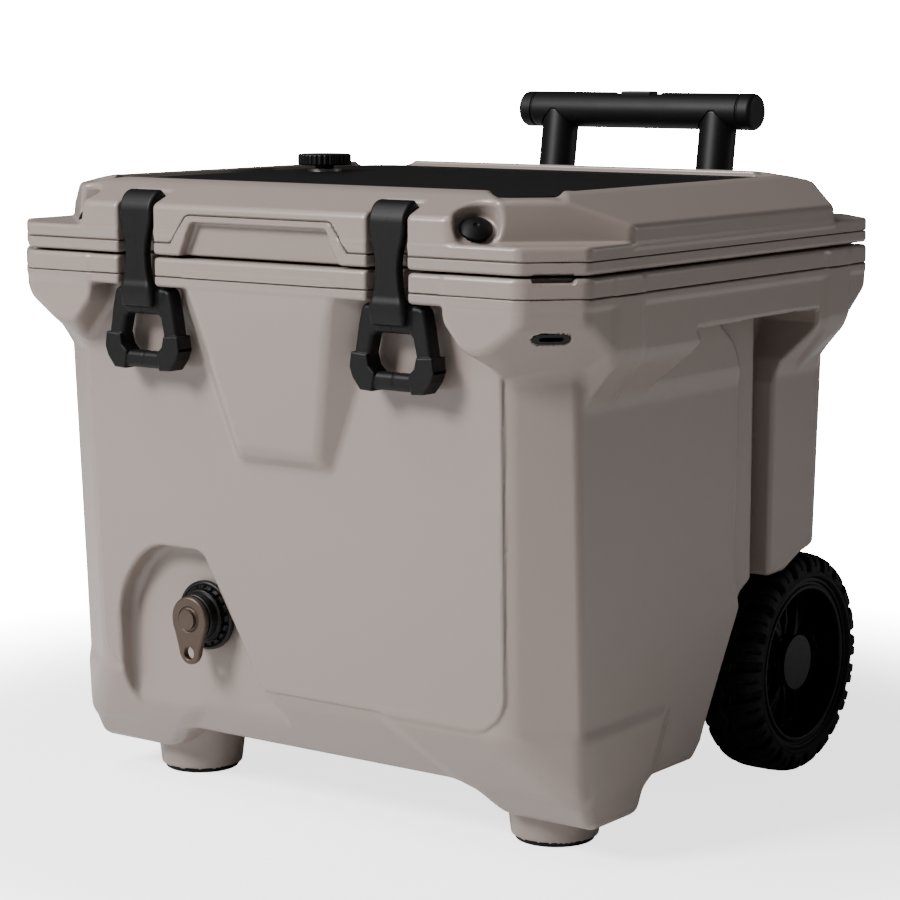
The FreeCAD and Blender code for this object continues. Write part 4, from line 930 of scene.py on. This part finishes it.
def material(name, col, rough, metal=0.0, var=0.06, scale=9.0, grain=900.0, bump=0.02, coat=0.0, sheen=0.0,
             spec=0.5, rough_var=0.06, ior=1.5, stretch=None, fleck=0.0):
    """Procedural finish: soft colour drift, uneven gloss and a fine moulded grain."""
    m = bpy.data.materials.new(name)
    m.use_nodes = True
    nt = m.node_tree
    nt.nodes.clear()
    out = nt.nodes.new("ShaderNodeOutputMaterial")
    b = nt.nodes.new("ShaderNodeBsdfPrincipled")
    nt.links.new(b.outputs[0], out.inputs[0])
    b.inputs["Metallic"].default_value = metal
    b.inputs["IOR"].default_value = ior
    b.inputs["Specular IOR Level"].default_value = spec
    b.inputs["Coat Weight"].default_value = coat
    b.inputs["Coat Roughness"].default_value = 0.25
    b.inputs["Sheen Weight"].default_value = sheen
    b.inputs["Sheen Roughness"].default_value = 0.5
    tc = nt.nodes.new("ShaderNodeTexCoord")
    mp = nt.nodes.new("ShaderNodeMapping")
    if stretch:
        mp.inputs["Scale"].default_value = stretch
    nt.links.new(tc.outputs["Object"], mp.inputs["Vector"])
    n1 = nt.nodes.new("ShaderNodeTexNoise")
    n1.inputs["Scale"].default_value = scale
    n1.inputs["Detail"].default_value = 4
    nt.links.new(mp.outputs[0], n1.inputs["Vector"])
    ramp = nt.nodes.new("ShaderNodeMixRGB")
    c = srgb(col)
    ramp.inputs["Color1"].default_value = tuple(x * (1 - var) for x in c[:3]) + (1,)
    ramp.inputs["Color2"].default_value = tuple(min(1, x * (1 + var)) for x in c[:3]) + (1,)
    nt.links.new(n1.outputs["Fac"], ramp.inputs["Fac"])
    last = ramp.outputs[0]
    n2 = nt.nodes.new("ShaderNodeTexNoise")
    n2.inputs["Scale"].default_value = grain
    n2.inputs["Detail"].default_value = 2
    nt.links.new(mp.outputs[0], n2.inputs["Vector"])
    if fleck:
        mx2 = nt.nodes.new("ShaderNodeMixRGB")
        mx2.inputs["Color2"].default_value = tuple(min(1, x * (1 + fleck) + 0.004 * fleck) for x in c[:3]) + (1,)
        nt.links.new(last, mx2.inputs["Color1"])
        mr2 = nt.nodes.new("ShaderNodeMapRange")
        mr2.inputs["From Min"].default_value = 0.52
        mr2.inputs["From Max"].default_value = 0.75
        nt.links.new(n2.outputs["Fac"], mr2.inputs["Value"])
        nt.links.new(mr2.outputs[0], mx2.inputs["Fac"])
        last = mx2.outputs[0]
    nt.links.new(last, b.inputs["Base Color"])
    mr = nt.nodes.new("ShaderNodeMapRange")
    mr.inputs["To Min"].default_value = rough - rough_var
    mr.inputs["To Max"].default_value = rough + rough_var
    n3 = nt.nodes.new("ShaderNodeTexNoise")
    n3.inputs["Scale"].default_value = scale * 3.1
    n3.inputs["Detail"].default_value = 3
    nt.links.new(mp.outputs[0], n3.inputs["Vector"])
    nt.links.new(n3.outputs["Fac"], mr.inputs["Value"])
    nt.links.new(mr.outputs[0], b.inputs["Roughness"])
    bp = nt.nodes.new("ShaderNodeBump")
    bp.inputs["Strength"].default_value = 1.0
    bp.inputs["Distance"].default_value = bump * 0.001
    nt.links.new(n2.outputs["Fac"], bp.inputs["Height"])
    nt.links.new(bp.outputs[0], b.inputs["Normal"])
    return m


def dull(m, spec, sheen=0.0):
    b = [n for n in m.node_tree.nodes if n.type == "BSDF_PRINCIPLED"][0]
    b.inputs["Specular IOR Level"].default_value = spec
    b.inputs["Sheen Weight"].default_value = sheen


MATS = {
    "body_plastic": material("taupe_plastic", (0.535, 0.487, 0.462), 0.30, var=0.025, scale=5, grain=1500, bump=0.035, rough_var=0.03, spec=0.45),
    "liner_plastic": material("liner_plastic", (0.80, 0.79, 0.77), 0.42, var=0.02, scale=6, grain=1400, bump=0.03, rough_var=0.03),
    "foam": material("foam", (0.86, 0.83, 0.70), 0.85, var=0.08, scale=40, grain=600, bump=0.4),
    "dark_rubber": material("dark_rubber", (0.022, 0.022, 0.024), 0.50, var=0.06, scale=12, grain=1300, bump=0.05, sheen=0.05, rough_var=0.05),
    "mat_rubber": material("mat_rubber", (0.020, 0.020, 0.022), 0.62, var=0.07, scale=10, grain=1200, bump=0.10, sheen=0.10, rough_var=0.05),
    "seal_rubber": material("seal_rubber", (0.10, 0.10, 0.10), 0.6, var=0.08, scale=15, grain=1100, bump=0.06),
    "black_plastic": material("black_plastic", (0.022, 0.022, 0.025), 0.42, var=0.05, scale=9, grain=1500, bump=0.05, rough_var=0.05),
    "rim_plastic": material("rim_plastic", (0.014, 0.014, 0.016), 0.45, var=0.05, scale=14, grain=1400, bump=0.05, rough_var=0.05),
    "tyre_rubber": material("tyre_rubber", (0.018, 0.018, 0.020), 0.62, var=0.08, scale=16, grain=1000, bump=0.12, sheen=0.12, rough_var=0.05),
    "black_anodised": material("black_anodised", (0.06, 0.06, 0.065), 0.35, metal=0.6, var=0.05, scale=20, grain=2200, bump=0.015, stretch=(1, 1, 0.15)),
    "stainless": material("stainless", (0.72, 0.71, 0.70), 0.30, metal=1.0, var=0.04, scale=30, grain=2500, bump=0.02, stretch=(0.2, 1, 1)),
    "bronze_metal": material("bronze_metal", (0.30, 0.25, 0.215), 0.42, metal=0.55, var=0.10, scale=40, grain=1600, bump=0.08, rough_var=0.08),
}


for k, v in (("dark_rubber", 0.22), ("mat_rubber", 0.16), ("tyre_rubber", 0.16), ("rim_plastic", 0.18), ("black_plastic", 0.26), ("seal_rubber", 0.2)):
    dull(MATS[k], v)


def ribbed_mat():
    """The lid mat's rubber: a renamed copy of mat_rubber with its matt grain."""
    m = MATS["mat_rubber"].copy()
    m.name = "mat_ribbed"
    return m


def paint(o, slot_name, mat=None):
    o.data.materials.clear()
    o.data.materials.append(mat or MATS[slot_name])
    return o


# ---------------------------------------------------------------- build the pieces
J = 1.0


def piece(o, body, slot_name, *nodes, mat=None):
    paint(o, slot_name, mat)
    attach(o, body)
    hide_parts(*nodes)
    return o


def L3(*spans):
    return lines([(a, s * J if s else s) for a, s in spans])


XB = L3((-304, 3.0), (-160, 2.4), (160, 3.0), (304, None))
b1 = piece(solid("shell_body", shell_field, XB, L3((-270, 2.6), (-196, 3.4), (196, 3.0), (290, None)),
                 L3((4, 2.8), (60, 3.2), (300, 2.6), (456, 1.2), (468.2, None)), 0),
           "cooler_body", "body_plastic", "body_shell", "body_foam")
b2 = piece(solid("liner_inner", liner_field, XB, L3((-270, 3.0), (270, None)),
                 L3((110, 4.0), (456, 2.0), (465, 1.0), (470, 2.2), (485, None)), 0),
           "cooler_body", "body_plastic", "inner_liner")
b3 = piece(solid("lid_top", lidtop_field, L3((-304, 2.2), (304, None)), L3((-268, 2.0), (-190, 3.0), (190, 2.2), (268, None)),
                 L3((492, 1.6), (550, None)), 0),
           "lid", "body_plastic", "lid_shell", "lid_foam")
b4 = piece(solid("lid_underside", pan_field, L3((-304, 2.4), (304, None)), L3((-268, 2.0), (-238, 3.2), (190, 2.6), (268, None)),
                 L3((462, 2.2), (484, 1.2), (498, 1.6), (522, None)), 0),
           "lid", "body_plastic", "lid_pan")


def moved(f, dx):
    return lambda P: f((P[0] - F(dx), P[1], P[2]))


for sx, side in ((-1, "left"), (1, "right")):
    cx = sx * LATCH_X
    piece(solid("strap_" + side, moved(latch_field, cx), L3((cx - 42, 0.95), (cx + 42, None)), L3((-288, 0.95), (-238, None)),
                L3((384, 0.95), (540, None)), 0),
          side + "_latch", "dark_rubber", "latch_" + side)

    def wheel_f(P, s=sx):
        X, Y, Z = P
        return rim_field((X * F(s), Y - F(WHEEL_Y), Z - F(WHEEL_R)))
    xr = L3((208, 1.2), (266, None)) if sx > 0 else L3((-266, 1.2), (-208, None))
    piece(solid("wheel_rim_" + side, wheel_f, xr, L3((WHEEL_Y - 82, 1.05), (WHEEL_Y + 82, None)), L3((WHEEL_R - 82, 1.05), (WHEEL_R + 82, None)), 0),
          side + "_wheel", "rim_plastic", "rim_" + side)
    piece(tyre("wheel_tyre_" + side, sx), side + "_wheel", "tyre_rubber", "tyre_" + side)

piece(solid("drain_lever", lever_field, L3((TAP_X - 22, 0.7), (TAP_X + 22, None)), L3((-237, 0.6), (-224, None)), L3((108, 0.7), (190, None)), 0),
      "tap", "bronze_metal", "tap_lever")
piece(solid("drain_body", tapbody_field, L3((TAP_X - 33, 0.9), (TAP_X + 33, None)), L3((-230, 0.8), (-165, None)), L3((TAP_Z - 33, 0.9), (TAP_Z + 33, None)), 0),
      "cooler_body", "black_plastic", "tap_body")
piece(solid("tow_grip", grip_field, L3((-136, 1.1), (136, None)), L3((G0[1] - 20, 1.0), (G0[1] + 20, None)), L3((G0[2] - 20, 1.0), (G0[2] + 20, None)), 0),
      "handle", "dark_rubber", "handle_grip")
piece(solid("tow_yoke", yoke_field, L3((-134, 1.2), (134, None)), L3((288, 1.1), (340, None)), L3((520, 1.1), (614, None)), 0),
      "handle", "black_plastic", "handle_yoke")
piece(solid("tow_housing", housing_field, L3((-140, 2.4), (140, None)), L3((210, 2.0), (330, None)), L3((70, 2.6), (500, None)), 0),
      "cooler_body", "black_plastic", "handle_housing")
piece(solid("hinge_blocks", bracket_field, np.concatenate([L3((-209, 1.2), (-141, None)), L3((141, 1.2), (209, None))]),
            L3((230, 1.1), (265, None)), L3((480, 1.1), (533, None)), 0),
      "cooler_body", "black_plastic", "hinge_brackets")
piece(solid("foot_pad_pair", pad_field, np.concatenate([L3((-233, 1.2), (-161, None)), L3((161, 1.2), (233, None))]),
            L3((FOOT_YB - 36, 1.2), (FOOT_YB + 36, None)), L3((-1, 0.8), (10.5, None)), 0),
      "cooler_body", "dark_rubber", "foot_pads")
piece(solid("corner_bumpers", bumper_field, np.concatenate([L3((-222, 0.8), (-186, None)), L3((186, 0.8), (222, None))]),
            L3((-258, 0.8), (-222, None)), L3((500, 0.8), (534, None)), 0),
      "lid", "dark_rubber", "lid_bumpers")
piece(solid("vent_dial", knob_field, L3((KNOB_X - 27, 0.6), (KNOB_X + 27, None)), L3((KNOB_Y - 27, 0.6), (KNOB_Y + 27, None)), L3((543, 0.5), (559, None)), 0),
      "vent", "black_plastic", "vent_knob")

# the design's own pieces keep their shapes
SLOTS = {r["node"]: r["material_slot"] for r in frame["record"]["subparts"]}
for n, o in frame["nodes"].items():
    paint(o, SLOTS[n])
    if o.hide_render:
        continue
    if n in ("body_foam", "lid_foam"):
        continue
    bev = o.modifiers.new("edge", "BEVEL")
    bev.width = 0.0005
    bev.segments = 2
    bev.limit_method = "ANGLE"
    bev.angle_limit = math.radians(35)
    bev.harden_normals = False

# ---------------------------------------------------------------- floor, light and camera
bpy.ops.mesh.primitive_plane_add(size=1)
floor = bpy.context.object
floor.name = "floor"
floor.scale = (40, 40, 1)
fm = bpy.data.materials.new("floor")
fm.use_nodes = True
fb = fm.node_tree.nodes["Principled BSDF"]
fb.inputs["Base Color"].default_value = (0.90, 0.90, 0.90, 1)
fb.inputs["Roughness"].default_value = 0.85
fb.inputs["Specular IOR Level"].default_value = 0.2
ft = fm.node_tree
flp = ft.nodes.new("ShaderNodeLightPath")
fem = ft.nodes.new("ShaderNodeEmission")
fem.inputs["Color"].default_value = (1, 1, 1, 1)
fmul = ft.nodes.new("ShaderNodeMath")
fmul.operation = "MULTIPLY"
fmul.inputs[1].default_value = 1.0
fgeo = ft.nodes.new("ShaderNodeNewGeometry")
flen = ft.nodes.new("ShaderNodeVectorMath")
flen.operation = "LENGTH"
ft.links.new(fgeo.outputs["Position"], flen.inputs[0])
fmr = ft.nodes.new("ShaderNodeMapRange")
fmr.inputs["From Min"].default_value = 0.42
fmr.inputs["From Max"].default_value = 1.3
fmr.inputs["To Min"].default_value = 2.2
fmr.inputs["To Max"].default_value = 30.0
fmr.interpolation_type = "SMOOTHERSTEP"
ft.links.new(flen.outputs["Value"], fmr.inputs["Value"])
ft.links.new(fmr.outputs[0], fmul.inputs[1])
ft.links.new(flp.outputs["Is Camera Ray"], fmul.inputs[0])
ft.links.new(fmul.outputs[0], fem.inputs["Strength"])
fad = ft.nodes.new("ShaderNodeAddShader")
ft.links.new(fb.outputs[0], fad.inputs[0])
ft.links.new(fem.outputs[0], fad.inputs[1])
ft.links.new(fad.outputs[0], [n for n in ft.nodes if n.type == "OUTPUT_MATERIAL"][0].inputs["Surface"])
floor.data.materials.append(fm)


def light(name, loc, target, size, power, col=(1, 1, 1), size_y=None):
    d = bpy.data.lights.new(name, "AREA")
    d.shape = "RECTANGLE"
    d.size, d.size_y = size, size_y or size
    d.energy = power
    d.color = col
    o = bpy.data.objects.new(name, d)
    bpy.context.scene.collection.objects.link(o)
    o.location = loc
    o.rotation_euler = (Vector(target) - Vector(loc)).to_track_quat("-Z", "Y").to_euler()
    return o


key = light("key", (-1.3, -3.0, 2.5), (0, 0, 0.32), 1.1, 225)
topl = light("top", (-0.8, -1.2, 2.9), (0, 0, 0.4), 1.2, 40)
rimr = light("rim", (2.6, 2.4, 1.5), (0.1, 0.1, 0.35), 0.6, 14, size_y=1.6)
w = bpy.data.worlds.new("world") if not bpy.context.scene.world else bpy.context.scene.world
bpy.context.scene.world = w
w.use_nodes = True
bg = w.node_tree.nodes.get("Background")
# white behind the object; softer and dimmer as a source of light
wt = w.node_tree
lp = wt.nodes.new("ShaderNodeLightPath")
b2_ = wt.nodes.new("ShaderNodeBackground")
mxw = wt.nodes.new("ShaderNodeMixShader")
bg.inputs["Color"].default_value = (1.0, 0.985, 0.97, 1)
bg.inputs["Strength"].default_value = 0.09
b2_.inputs["Color"].default_value = (1, 1, 1, 1)
b2_.inputs["Strength"].default_value = 30.0
wo = [n for n in wt.nodes if n.type == "OUTPUT_WORLD"][0]
wt.links.new(lp.outputs["Is Camera Ray"], mxw.inputs[0])
wt.links.new(bg.outputs[0], mxw.inputs[1])
wt.links.new(b2_.outputs[0], mxw.inputs[2])
wt.links.new(mxw.outputs[0], wo.inputs["Surface"])

AZ, PITCH = math.radians(36.245), math.radians(8.507)
cam = bpy.data.cameras.new("camera")
cam.lens = 107.86
cam.sensor_width = 36
cam.clip_start, cam.clip_end = 0.05, 60
co = bpy.data.objects.new("camera", cam)
bpy.context.scene.collection.objects.link(co)
back = Vector((math.sin(AZ) * math.cos(PITCH), -math.cos(AZ) * math.cos(PITCH), math.sin(PITCH)))
co.location = (1.42526, (-1940.85 + YS) / 1000.0, 0.65763)
co.rotation_euler = back.to_track_quat("Z", "Y").to_euler()
bpy.context.scene.camera = co

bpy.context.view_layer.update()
print("  scene built in %.1f s" % (time.time() - T0))
